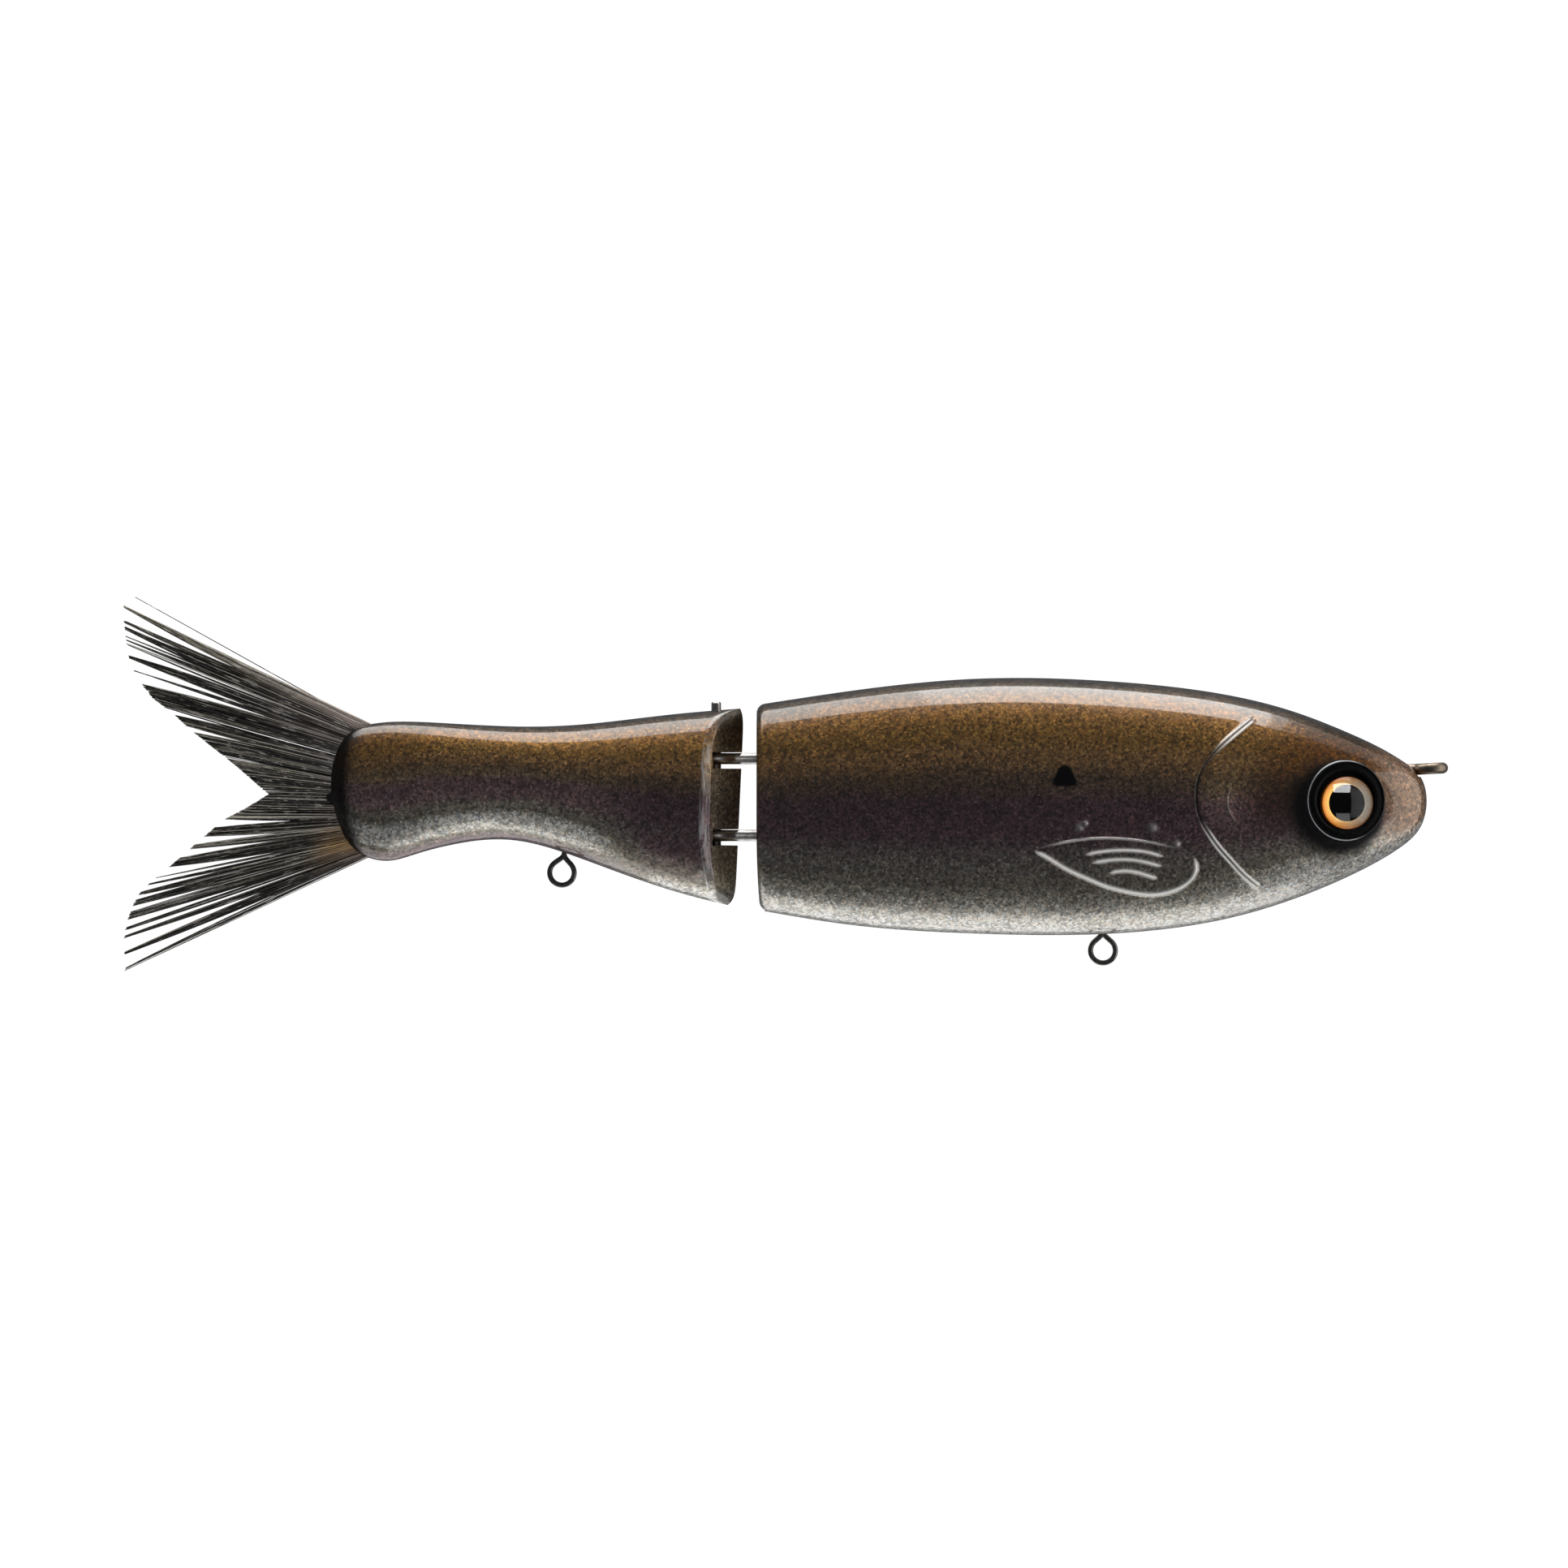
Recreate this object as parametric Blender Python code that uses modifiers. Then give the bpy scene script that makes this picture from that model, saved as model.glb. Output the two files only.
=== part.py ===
"""A two-section glide swimbait: a hollow moulded head section and a hollow tail section that swings on
a vertical hinge pin, with wire hook hangers, screw eyes, ballast slugs, domed eyes and a bristle tail.

The frame is in metres: +X towards the nose, +Y to the bait's left, +Z up. The origin is the centre of
the line tie, the screw eye in the nose that the line or snap goes through.
"""

import math

import bmesh
import bpy
import numpy as np
from mathutils import Matrix, Vector

MM = 0.001

# Driving dimensions, in millimetres.
NOSE_X = -0.6
JOINT_FACE_X = -118.2
V_APEX_X = -120.4
TAIL_END_X = -193.1
TIP_X = -229.4
PIN_X = -125.3
PIN_RADIUS = 0.85
PIN_TOP_Z = 11.7
PIN_BOTTOM_Z = -16.0
UPPER_EYE_Z = 1.75
LOWER_EYE_Z = -11.75
WALL = 2.1
SEAM = 0.1
EYE_WIRE_RADIUS = 1.0
EYE_RING_RADIUS = 2.2
EYE_SHANK_END = 15.6
LINE_TIE_TILT = math.radians(-3)
HANGER_WIRE_RADIUS = 0.46
HANGER_LOOP_RADIUS = 2.18
FIT_GAP = 0.15

# Stations along each section: x, top z, bottom z, half width. A blunt end is where all three close.
NOSE_Z = -5.6
HEAD_STATIONS = (
    (NOSE_X, NOSE_Z, NOSE_Z, 0.0),
    (-1.7, -1.4, -10.3, 3.9),
    (-4.6, 1.2, -13.4, 6.2),
    (-8.8, 3.7, -16.1, 8.2),
    (-16.0, 7.0, -19.7, 10.4),
    (-24.5, 10.2, -23.1, 12.2),
    (-35.9, 13.0, -26.4, 13.5),
    (-58.7, 15.5, -29.1, 14.3),
    (-81.5, 15.7, -28.9, 13.9),
    (-104.3, 13.3, -27.1, 12.6),
    (JOINT_FACE_X, 11.2, -24.8, 11.6),
)
TAIL_END_Z = -2.6
TAIL_STATIONS = (
    (TAIL_END_X, TAIL_END_Z, TAIL_END_Z, 0.0),
    (-192.1, 2.9, -8.3, 3.1),
    (-189.8, 6.5, -13.4, 4.6),
    (-186.2, 7.8, -15.7, 5.7),
    (-182.7, 8.2, -16.2, 6.3),
    (-177.0, 8.2, -14.7, 6.9),
    (-171.3, 7.9, -13.3, 7.4),
    (-165.6, 7.6, -12.5, 7.9),
    (-159.9, 7.4, -12.7, 8.4),
    (-148.5, 7.8, -16.0, 9.4),
    (-131.4, 9.7, -21.9, 10.8),
    (V_APEX_X, 10.6, -24.6, 11.6),
)
SECTION_POWER = 2.25

# The V at the front of the tail section, seen from above, and its front edge, seen from the side.
# Its flanks are shallower towards the back and right down at the keel, and their edges are chamfered.
V_START_X = -131.0
V_SLOPE = 1.89
V_TOP_SHALLOW = 0.47
V_KEEL_SHALLOW = 0.73
V_APEX_ROUND = 0.35
V_CHAMFER = 0.07
V_CHAMFER_SLOPE = 0.6
V_EDGE_BLEND = 0.3
V_EDGE_RAKE = 1.6
V_TOP_CORNER = 0.7
V_BOTTOM_CORNER = 1.3

# The head section's rear face has a rounded rim, and its lower part leans forward a little.
RIM_ROUND = 1.4
FACE_BOW = 0.9

# Hinge slots across the V, as a 28 mm disc cutter leaves them.
SLOT_HEIGHT = 3.2
SLOT_CUTTER_RADIUS = 14.0
SLOT_BACK_X = -129.0
SLOT_DROP = 0.3

# Eyes: centre on the flank, lean of the axis towards the nose, and turned sizes.
EYE_X = -15.55
EYE_Z = -5.6
EYE_LEAN = math.radians(10)
EYE_RADIUS = 7.0
SOCKET_DEPTH = 3.2
IRIS_RADIUS = 4.6
LENS_CURVE = 6.2

# Hook hangers: foot of the neck on the belly, and lean.
BELLY_HANGER = (-57.4, -29.2, 0.0)
REAR_HANGER = (-152.05, -15.55, math.radians(7))
HANGER_DROP = 2.75
HANGER_NECK = 2.3
HANGER_INNER_RISE = 2.3
HANGER_INNER_RADIUS = 1.75

# Chambers inside the sections, and the ballast slugs: x from, x to, z, radius.
# A chamber is x from, x to and its floor, as a height between -1 at the belly and 1 at the back.
HEAD_CHAMBERS = ((-108.0, -84.0, -0.3), (-82.0, -64.5, -0.3), (-62.5, -48.5, -1.0), (-46.5, -28.0, -0.18))
TAIL_CHAMBERS = ((-181.0, -159.8, -1.0),)
FORE_BALLAST = (-46.0, -30.0, -17.6, 5.0)
AFT_BALLAST = (-96.0, -67.0, -20.3, 4.8)
REAR_BALLAST = (-145.0, -133.2, -11.4, 3.2)
HEAD_PEGS = ((-95.0, 5.5), (-73.0, 7.5), (-38.0, 5.0))
TAIL_PEGS = ((-170.0, 1.0), (-138.5, 0.5))
PEG_RADIUS = 1.2
PEG_REACH = 2.0
HANGER_BOSS_RADIUS = 4.4

# Bristle tail: the fan's corners, x and z, its hinge line and its thickness at root and tip.
FAN_AXIS_X = -186.4
FAN_TOP = (TIP_X, 30.2)
FAN_TOP_INNER = (-229.0, 19.8)
FAN_NOTCH = (-203.9, -4.4)
FAN_LOW_INNER = (-228.3, -24.1)
FAN_LOW = (TIP_X, -35.6)
FAN_ROOT_THICK = 2.8
FAN_TIP_THICK = 1.5
ROOT_SLOT_HALF = 1.7
ROOT_HALF = 1.4

COLOURS = {
    "shell": ((0.16, 0.12, 0.09), 0.35, 0.5),
    "steel": ((0.55, 0.55, 0.54), 0.25, 1.0),
    "ballast": ((0.35, 0.35, 0.37), 0.5, 1.0),
    "cup": ((0.01, 0.01, 0.01), 0.15, 0.0),
    "iris": ((0.75, 0.42, 0.12), 0.3, 0.9),
    "lens": ((0.85, 0.86, 0.88), 0.05, 0.0),
    "bristle": ((0.05, 0.045, 0.04), 0.5, 0.0),
    "resin": ((0.03, 0.03, 0.03), 0.4, 0.0),
}

parts = None
cutters = None


def clear_scene():
    for obj in list(bpy.data.objects):
        bpy.data.objects.remove(obj, do_unlink=True)


def new_collection(name):
    found = bpy.data.collections.new(name)
    bpy.context.scene.collection.children.link(found)
    return found


def material(key):
    found = bpy.data.materials.get(key)
    if found:
        return found
    colour, roughness, metallic = COLOURS[key]
    made = bpy.data.materials.new(key)
    made.use_nodes = True
    shader = made.node_tree.nodes["Principled BSDF"]
    shader.inputs["Base Color"].default_value = (*colour, 1)
    shader.inputs["Roughness"].default_value = roughness
    shader.inputs["Metallic"].default_value = metallic
    return made


# ---------------------------------------------------------------- shape functions


def cubic_through(xs, ys):
    """A natural cubic spline through the points, as a function of x."""
    xs, ys = np.array(xs, float), np.array(ys, float)
    order = np.argsort(xs)
    xs, ys = xs[order], ys[order]
    step = np.diff(xs)
    slope = np.diff(ys) / step
    count = len(xs)
    matrix, right = np.eye(count), np.zeros(count)
    for i in range(1, count - 1):
        matrix[i, i - 1 : i + 2] = step[i - 1], 2 * (step[i - 1] + step[i]), step[i]
        right[i] = 6 * (slope[i] - slope[i - 1])
    bend = np.linalg.solve(matrix, right)

    def value(x):
        i = int(np.clip(np.searchsorted(xs, x) - 1, 0, count - 2))
        before, after, h = x - xs[i], xs[i + 1] - x, step[i]
        curve = (bend[i] * after**3 + bend[i + 1] * before**3) / (6 * h)
        line = (ys[i] / h - bend[i] * h / 6) * after
        return curve + line + (ys[i + 1] / h - bend[i + 1] * h / 6) * before

    return value


def outline(stations):
    """Top, bottom and half width as functions of x. The first station is the blunt end, so the curves
    run through the square root of the distance from it, which rounds that end."""
    blunt = stations[0][0]
    roots = [math.sqrt(abs(s[0] - blunt)) for s in stations]
    curves = [cubic_through(roots, [s[k] for s in stations]) for k in (1, 2, 3)]

    def at(x):
        root = math.sqrt(abs(x - blunt))
        return tuple(curve(root) for curve in curves)

    return at


head_outline = outline(HEAD_STATIONS)
tail_outline = outline(TAIL_STATIONS)


def heights(count):
    """Heights round a section, from 1 at its top to -1 at its bottom, closest together at both."""
    angles = np.linspace(math.pi / 2, -math.pi / 2, count)
    return [math.copysign(abs(math.sin(a)) ** (2 / SECTION_POWER), math.sin(a)) for a in angles]


def section_point(at, x, height, inset=0.0):
    """Half width and z at this height of the section at x, moved in by inset."""
    top, bottom, half_width = at(x)
    middle, half_height = (top + bottom) / 2, max((top - bottom) / 2 - inset, 0.01)
    across = (1 - min(1.0, abs(height)) ** SECTION_POWER) ** (1 / SECTION_POWER)
    return max(half_width - inset, 0.01) * across, middle + half_height * height


def flank_y(at, x, z):
    """Half width of the body at x and z."""
    top, bottom, _ = at(x)
    height = (z - (top + bottom) / 2) / ((top - bottom) / 2)
    return section_point(at, x, height)[0]


def soft_least(a, b, blend):
    """The smaller of a and b, with the corner between them rounded."""
    share = max(blend - abs(a - b), 0.0) / blend
    return min(a, b) - share * share * blend / 4


def v_edge_x(height):
    """Front edge of the V seen from the side: raked back towards the belly, with rounded corners."""
    corner = V_TOP_CORNER if height > 0 else V_BOTTOM_CORNER
    return V_APEX_X - V_EDGE_RAKE * (1 - height) / 2 - corner * abs(height) ** 14


def head_point(x, height, inset=0.0, scale=1.0):
    y, z = section_point(head_outline, x, height, inset)
    top, bottom, _ = head_outline(x)
    middle = (top + bottom) / 2
    return y * scale, middle + (z - middle) * scale


def head_rings(count):
    """Rings of (x, y, z) for the half y > 0, from the nose to the middle of the rear face."""
    levels = heights(count)
    near = [NOSE_X - 0.01 - 3.9 * (i / 4) ** 2 for i in range(5)]
    along = list(np.linspace(-8.0, -36.0, 7)) + list(np.linspace(-44.0, JOINT_FACE_X + RIM_ROUND, 9))
    rings = []
    for x in near + along:
        rings.append([(x, *head_point(x, level)) for level in levels])
    for turn in (math.pi / 6, math.pi / 3, math.pi / 2):
        back, inset = RIM_ROUND * math.sin(turn), RIM_ROUND * (1 - math.cos(turn))
        x = JOINT_FACE_X + RIM_ROUND - back
        rings.append([(x, *head_point(x, level, inset)) for level in levels])
    for scale in (0.7, 0.35, 0.02):
        rim = [head_point(JOINT_FACE_X, level, RIM_ROUND, scale) for level in levels]
        rings.append([(JOINT_FACE_X, y, z) for y, z in rim])
    first_face_ring = len(rings) - 6
    for ring in rings[first_face_ring:]:
        top, bottom, _ = head_outline(JOINT_FACE_X)
        for i, (x, y, z) in enumerate(ring):
            low = max(0.0, -((z - (top + bottom) / 2) / ((top - bottom) / 2)) - 0.2)
            ring[i] = (x + FACE_BOW * low * low, y, z)
    return rings


def v_point(x, height):
    """Half width and z on the tail section, where the V trims it."""
    y, z = section_point(tail_outline, x, height)
    depth = v_edge_x(height) - x
    if depth <= 0:
        return 0.0, z
    slope = V_SLOPE * (1 - V_TOP_SHALLOW * max(height, 0.0) ** 2 - V_KEEL_SHALLOW * max(-height, 0.0) ** 8)
    flank = slope * math.sqrt(depth * depth + 2 * V_APEX_ROUND * depth)
    start = (1 - V_CHAMFER) * y
    chamfer = start + V_CHAMFER_SLOPE * (depth - start / slope)
    trimmed = soft_least(soft_least(y, chamfer, V_EDGE_BLEND), flank, V_EDGE_BLEND)
    return max(trimmed, 0.0), z


def tail_rings(count):
    """Rings of (x, y, z) for the half y > 0, from the blunt rear end to the V's front edge."""
    levels = heights(count)
    near = [TAIL_END_X + 0.01 + 5.0 * (i / 5) ** 2 for i in range(6)]
    along = list(np.linspace(-185.5, V_START_X, 12))
    rings = []
    for x in near + along:
        rings.append([(x, *section_point(tail_outline, x, level)) for level in levels])
    steps = 9
    for i in range(1, steps + 1):
        share = 1 - (1 - i / steps) ** 1.4
        ring = []
        for level in levels:
            x = V_START_X + (v_edge_x(level) - V_START_X) * share
            ring.append((x, *v_point(x, level)))
        rings.append(ring)
    return rings


# ---------------------------------------------------------------- object makers


def add_object(name, mesh, collection, key=None):
    obj = bpy.data.objects.new(name, mesh)
    collection.objects.link(obj)
    if key:
        mesh.materials.clear()
        mesh.materials.append(material(key))
    if collection is cutters:
        obj.hide_render = True
        obj.display_type = "WIRE"
    return obj


def mesh_from(name, bm, smooth_below=35):
    """A mesh of the bmesh, normals outwards, smooth where faces meet at less than this angle."""
    bmesh.ops.recalc_face_normals(bm, faces=bm.faces)
    mesh = bpy.data.meshes.new(name)
    bm.to_mesh(mesh)
    bm.free()
    mesh.shade_smooth()
    mesh.set_sharp_from_angle(angle=math.radians(smooth_below))
    return mesh


def half_body(name, rings, side):
    """A closed half of a body from rings given in millimetres: its outside, its flat mating face a hair
    off the middle plane, and its ends."""
    bm = bmesh.new()
    rows = []
    for ring in rings:
        places = [(x, side * max(y, SEAM / 2), z) for x, y, z in ring]
        rows.append([bm.verts.new(Vector(p) * MM) for p in places])
    for a, b in zip(rows, rows[1:]):
        for i in range(len(a) - 1):
            bm.faces.new((a[i], a[i + 1], b[i + 1], b[i]))
        bm.faces.new((a[-1], a[0], b[0], b[-1]))
    bm.faces.new(rows[0])
    bm.faces.new(list(reversed(rows[-1])))
    bmesh.ops.remove_doubles(bm, verts=bm.verts, dist=0.002 * MM)
    return mesh_from(name, bm)


def chamber_mesh(name, at, x_from, x_to, floor, inset):
    """A closed body that follows the section, moved in by the wall, between two flat bulkheads."""
    bm = bmesh.new()
    levels = [level for level in heights(9) if level > floor + 0.05] + [floor]
    rows = []
    for x in np.linspace(x_from, x_to, 4):
        half = [section_point(at, x, level, inset) for level in levels]
        left = [(x, y, z) for y, z in half]
        right = [(x, -y, z) for y, z in reversed(half) if y > 0.001]
        loop = left + right
        rows.append([bm.verts.new(Vector(p) * MM) for p in loop])
    for a, b in zip(rows, rows[1:]):
        for i in range(len(a)):
            j = (i + 1) % len(a)
            bm.faces.new((a[i], a[j], b[j], b[i]))
    bm.faces.new(rows[0])
    bm.faces.new(list(reversed(rows[-1])))
    return mesh_from(name, bm)


def cylinder_mesh(name, radius, length, sides=24):
    """A cylinder along Z, centred, in millimetres."""
    bm = bmesh.new()
    bmesh.ops.create_cone(
        bm, cap_ends=True, segments=sides, radius1=radius * MM, radius2=radius * MM, depth=length * MM
    )
    return mesh_from(name, bm)


def box_mesh(name, size):
    bm = bmesh.new()
    bmesh.ops.create_cube(bm, size=1.0)
    bmesh.ops.scale(bm, vec=Vector(size) * MM, verts=bm.verts)
    return mesh_from(name, bm)


def place(obj, x, y, z, turn=(0.0, 0.0, 0.0)):
    obj.location = Vector((x, y, z)) * MM
    obj.rotation_euler = turn
    return obj


ALONG_X = (0.0, math.pi / 2, 0.0)
ALONG_Y = (math.pi / 2, 0.0, 0.0)


def rod(name, collection, radius, start, end, key=None, sides=16):
    """A round rod between two points, in millimetres."""
    start, end = Vector(start), Vector(end)
    obj = add_object(name, cylinder_mesh(name, radius, (end - start).length, sides), collection, key)
    obj.location = (start + end) / 2 * MM
    obj.rotation_mode = "QUATERNION"
    obj.rotation_quaternion = (end - start).to_track_quat("Z", "Y")
    return obj


def turned(name, profile, collection, key=None, steps=24):
    """A solid turned about its own Z axis from a profile of (radius, z) in millimetres, which runs
    down its outer side from the axis back to the axis."""
    mesh = bpy.data.meshes.new(name)
    points = [(r * MM, 0.0, z * MM) for r, z in profile]
    edges = [(i, i + 1) for i in range(len(points) - 1)]
    mesh.from_pydata(points, edges, [])
    obj = add_object(name, mesh, collection, key)
    screw = obj.modifiers.new("turn", "SCREW")
    screw.steps = steps
    screw.render_steps = steps
    screw.use_merge_vertices = True
    screw.merge_threshold = 0.00001
    screw.use_smooth_shade = True
    return obj


def cut(obj, cutter, operation="DIFFERENCE"):
    modifier = obj.modifiers.new(cutter.name, "BOOLEAN")
    modifier.operation = operation
    modifier.object = cutter
    modifier.solver = "EXACT"
    return modifier


def as_mesh(curve_obj, collection, key):
    """The curve's solid as a mesh object with its caps welded, in the curve's place."""
    bpy.context.view_layer.update()
    graph = bpy.context.evaluated_depsgraph_get()
    mesh = bpy.data.meshes.new_from_object(curve_obj.evaluated_get(graph))
    bm = bmesh.new()
    bm.from_mesh(mesh)
    bmesh.ops.remove_doubles(bm, verts=bm.verts, dist=0.001 * MM)
    bm.to_mesh(mesh)
    bm.free()
    name, place_of = curve_obj.name, curve_obj.matrix_world.copy()
    bpy.data.objects.remove(curve_obj, do_unlink=True)
    obj = add_object(name, mesh, collection, key)
    obj.matrix_world = place_of
    return obj


def wire(name, points, radius, key, collection, sides_setting=2):
    """A wire of round section along points in millimetres, with closed ends."""
    data = bpy.data.curves.new(name, "CURVE")
    data.dimensions = "3D"
    spline = data.splines.new("POLY")
    spline.points.add(len(points) - 1)
    for knot, p in zip(spline.points, points):
        knot.co = (*(Vector(p) * MM), 1.0)
    data.bevel_depth = radius * MM
    data.bevel_resolution = sides_setting
    data.use_fill_caps = True
    obj = bpy.data.objects.new(name, data)
    collection.objects.link(obj)
    return as_mesh(obj, collection, key)


# ---------------------------------------------------------------- hardware


def screw_eye(name, x, z, towards, tilt=0.0):
    """A closed screw eye whose ring lies flat, with its shank running towards +1 or -1 along X."""
    bpy.ops.mesh.primitive_torus_add(
        major_radius=EYE_RING_RADIUS * MM, minor_radius=EYE_WIRE_RADIUS * MM,
        major_segments=24, minor_segments=10,
    )
    ring = bpy.context.object
    ring.name = name
    for owner in list(ring.users_collection):
        owner.objects.unlink(ring)
    parts.objects.link(ring)
    ring.data.materials.append(material("steel"))
    ring.data.shade_smooth()
    place(ring, x, 0, z, (0, tilt, 0))
    start, end = EYE_RING_RADIUS * 0.95, EYE_SHANK_END
    shank = rod(
        name + "_shank", cutters, EYE_WIRE_RADIUS * 0.97, (towards * start, 0, 0), (towards * end, 0, 0), sides=12
    )
    shank.parent = ring
    cut(ring, shank, "UNION")
    return ring


def teardrop(radius, rise, count):
    """Points of a round loop that closes to a point at the origin, its centre at rise below it."""
    opening = math.asin(min(0.98, radius / rise))
    first = math.pi / 2 + (math.pi / 2 - opening)
    angles = np.linspace(first, first + 2 * math.pi - 2 * (math.pi / 2 - opening), count)
    return [(radius * math.cos(a), -rise + radius * math.sin(a)) for a in angles]


def hanger_points():
    """Route of the hanger's wire: half of the locked inner loop, down the neck, round the hook loop,
    up the neck beside itself and round the other half of the inner loop."""
    offset = HANGER_WIRE_RADIUS * 1.06
    outer = teardrop(HANGER_LOOP_RADIUS, HANGER_DROP, 19)
    inner = teardrop(HANGER_INNER_RADIUS, HANGER_INNER_RISE, 15)
    route = []
    half = len(inner) // 2
    for i in range(half - 1, -1, -1):
        route.append((-inner[i][0], offset, HANGER_NECK - inner[i][1]))
    route += [(0.18, offset, HANGER_NECK - 0.1), (0.0, offset, HANGER_NECK * 0.5), (0.0, offset, 0.1)]
    for i, (u, v) in enumerate(outer):
        swing = offset * math.cos(math.pi * i / (len(outer) - 1))
        route.append((u, swing, v))
    route += [(0.0, -offset, 0.1), (0.0, -offset, HANGER_NECK * 0.5), (-0.18, -offset, HANGER_NECK - 0.1)]
    for i in range(len(inner) - 1, half + 1, -1):
        route.append((-inner[i][0], -offset, HANGER_NECK - inner[i][1]))
    return route


def hook_hanger(name, spot):
    x, z, lean = spot
    obj = wire(name, hanger_points(), HANGER_WIRE_RADIUS, "steel", parts)
    return place(obj, x, 0, z, (0, lean, 0))


def hanger_cutters(name, spot):
    """The wire's seat: a ring groove with a peg left in it, and the way down through the belly. Each
    cut is a little deeper than the one before, so that no two leave faces in one plane."""
    x, z, lean = spot
    depth = 2 * HANGER_WIRE_RADIUS + FIT_GAP + 0.05
    loop_z = HANGER_NECK + HANGER_INNER_RISE
    outer = HANGER_INNER_RADIUS + HANGER_WIRE_RADIUS + FIT_GAP + 0.1
    peg = HANGER_INNER_RADIUS - HANGER_WIRE_RADIUS - FIT_GAP - 0.1
    groove = turned(
        name + "_groove",
        [(peg, depth), (outer, depth), (outer, -depth), (peg, -depth), (peg, depth)],
        cutters,
        steps=20,
    )
    turn = Matrix.Translation(Vector((x, 0, z)) * MM) @ Matrix.Rotation(lean, 4, "Y")
    groove.matrix_world = turn @ Matrix.Translation((0, 0, loop_z * MM)) @ Matrix.Rotation(math.pi / 2, 4, "X")
    throat_top = loop_z - peg - 0.2
    neck_half = HANGER_WIRE_RADIUS + FIT_GAP + 0.1
    boxes = (
        ("throat", outer * 0.86, throat_top, HANGER_NECK - 0.4),
        ("neckway", neck_half, HANGER_NECK + 0.3, -2.0),
        ("mouth", 1.7, -0.05, -3.0),
    )
    made = [groove]
    for i, (label, half_long, top, low) in enumerate(boxes):
        deep = depth + 0.06 * (i + 1)
        box = box_mesh(f"{name}_{label}", (2 * half_long, 2 * deep, top - low))
        cutter = add_object(f"{name}_{label}", box, cutters)
        cutter.matrix_world = turn @ Matrix.Translation((0, 0, (top + low) / 2 * MM))
        made.append(cutter)
    return made


def ballast(name, spec, key="ballast"):
    x_from, x_to, z, radius = spec
    chamfer = 0.6
    profile = [(0, x_to - x_from), (radius - chamfer, x_to - x_from), (radius, x_to - x_from - chamfer)]
    profile += [(radius, chamfer), (radius - chamfer, 0), (0, 0)]
    obj = turned(name, profile, parts, key, steps=24)
    return place(obj, x_from, 0, z, ALONG_X)


# ---------------------------------------------------------------- eyes


def eye_frame(side):
    """Matrix of the eye's own frame: its Z runs out of the flank, leaning towards the nose."""
    y = flank_y(head_outline, EYE_X, EYE_Z)
    out = Vector((math.sin(EYE_LEAN), side * math.cos(EYE_LEAN), 0))
    turn = out.to_track_quat("Z", "Y").to_matrix().to_4x4()
    return Matrix.Translation(Vector((EYE_X, side * y, EYE_Z)) * MM) @ turn


def eye_profiles():
    cup = [(0, -1.15), (IRIS_RADIUS + 0.2, -1.15), (IRIS_RADIUS + 0.2, 0.3)]
    cup += [(IRIS_RADIUS + 0.6, 0.42), (5.9, 0.2), (6.6, -0.15), (6.93, -0.55), (EYE_RADIUS, -0.95)]
    cup += [(EYE_RADIUS, -3.0), (0, -3.0)]
    iris = [(0, -0.6), (IRIS_RADIUS, -0.6), (IRIS_RADIUS, -0.95), (0, -0.95)]
    crown = LENS_CURVE - math.sqrt(LENS_CURVE**2 - IRIS_RADIUS**2)
    edge_z, lens = -0.1, []
    for turn in np.linspace(0, math.asin(IRIS_RADIUS / LENS_CURVE), 6):
        lens.append((LENS_CURVE * math.sin(turn), edge_z + crown - LENS_CURVE * (1 - math.cos(turn))))
    lens += [(IRIS_RADIUS, -0.45), (0, -0.45)]
    return cup, iris, lens


def eye(side, word):
    frame = eye_frame(side)
    cup, iris, lens = eye_profiles()
    for piece, profile, key in (("cup", cup, "cup"), ("iris", iris, "iris"), ("lens", lens, "lens")):
        obj = turned(f"{word}_eye_{piece}", profile, parts, key, steps=28)
        obj.matrix_world = frame


def socket_cutter(side, word):
    cutter = add_object(
        f"{word}_socket", cylinder_mesh(f"{word}_socket", EYE_RADIUS + 0.2, SOCKET_DEPTH + 6, 36), cutters
    )
    cutter.matrix_world = eye_frame(side) @ Matrix.Translation((0, 0, (6 - SOCKET_DEPTH) / 2 * MM))
    return cutter


# ---------------------------------------------------------------- shells


def column(label, x, z, radius):
    """A round column across the whole width."""
    return rod(label, cutters, radius, (x, -40, z), (x, 40, z), sides=16)


def chamber_cutters(word, at, chambers, pegs, hanger):
    """The chambers, each with columns left standing where a peg or the hanger's seat needs wall."""
    x, z, lean = hanger
    rise = HANGER_NECK + HANGER_INNER_RISE
    bosses = [(x + rise * math.sin(lean), z + rise * math.cos(lean), HANGER_BOSS_RADIUS)]
    bosses += [(px, pz, PEG_RADIUS * 2) for px, pz in pegs]
    made = []
    for i, (x_from, x_to, floor) in enumerate(chambers):
        name = f"{word}_chamber_{i}"
        chamber = add_object(name, chamber_mesh(name, at, x_from, x_to, floor, WALL), cutters)
        for j, (bx, bz, radius) in enumerate(bosses):
            if x_from < bx < x_to:
                cut(chamber, column(f"{name}_column_{j}", bx, bz, radius))
        made.append(chamber)
    return made


def add_pegs(shell, at, side, spots):
    """Pegs on the left half's mating face, and the sockets they enter in the right half's."""
    for i, (x, z) in enumerate(spots):
        label = f"{shell.name}_peg_{i}"
        if side > 0:
            peg = rod(label, cutters, PEG_RADIUS, (x, -PEG_REACH, z), (x, 4.0, z), sides=12)
            cut(shell, peg, "UNION")
        else:
            hole = rod(label, cutters, PEG_RADIUS + FIT_GAP, (x, 1, z), (x, -PEG_REACH - 0.4, z), sides=12)
            cut(shell, hole)


def slug_cutter(name, spec):
    x_from, x_to, z, radius = spec
    gap = FIT_GAP + 0.1
    return rod(name, cutters, radius + gap, (x_from - gap, 0, z), (x_to + gap, 0, z), sides=24)


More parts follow.
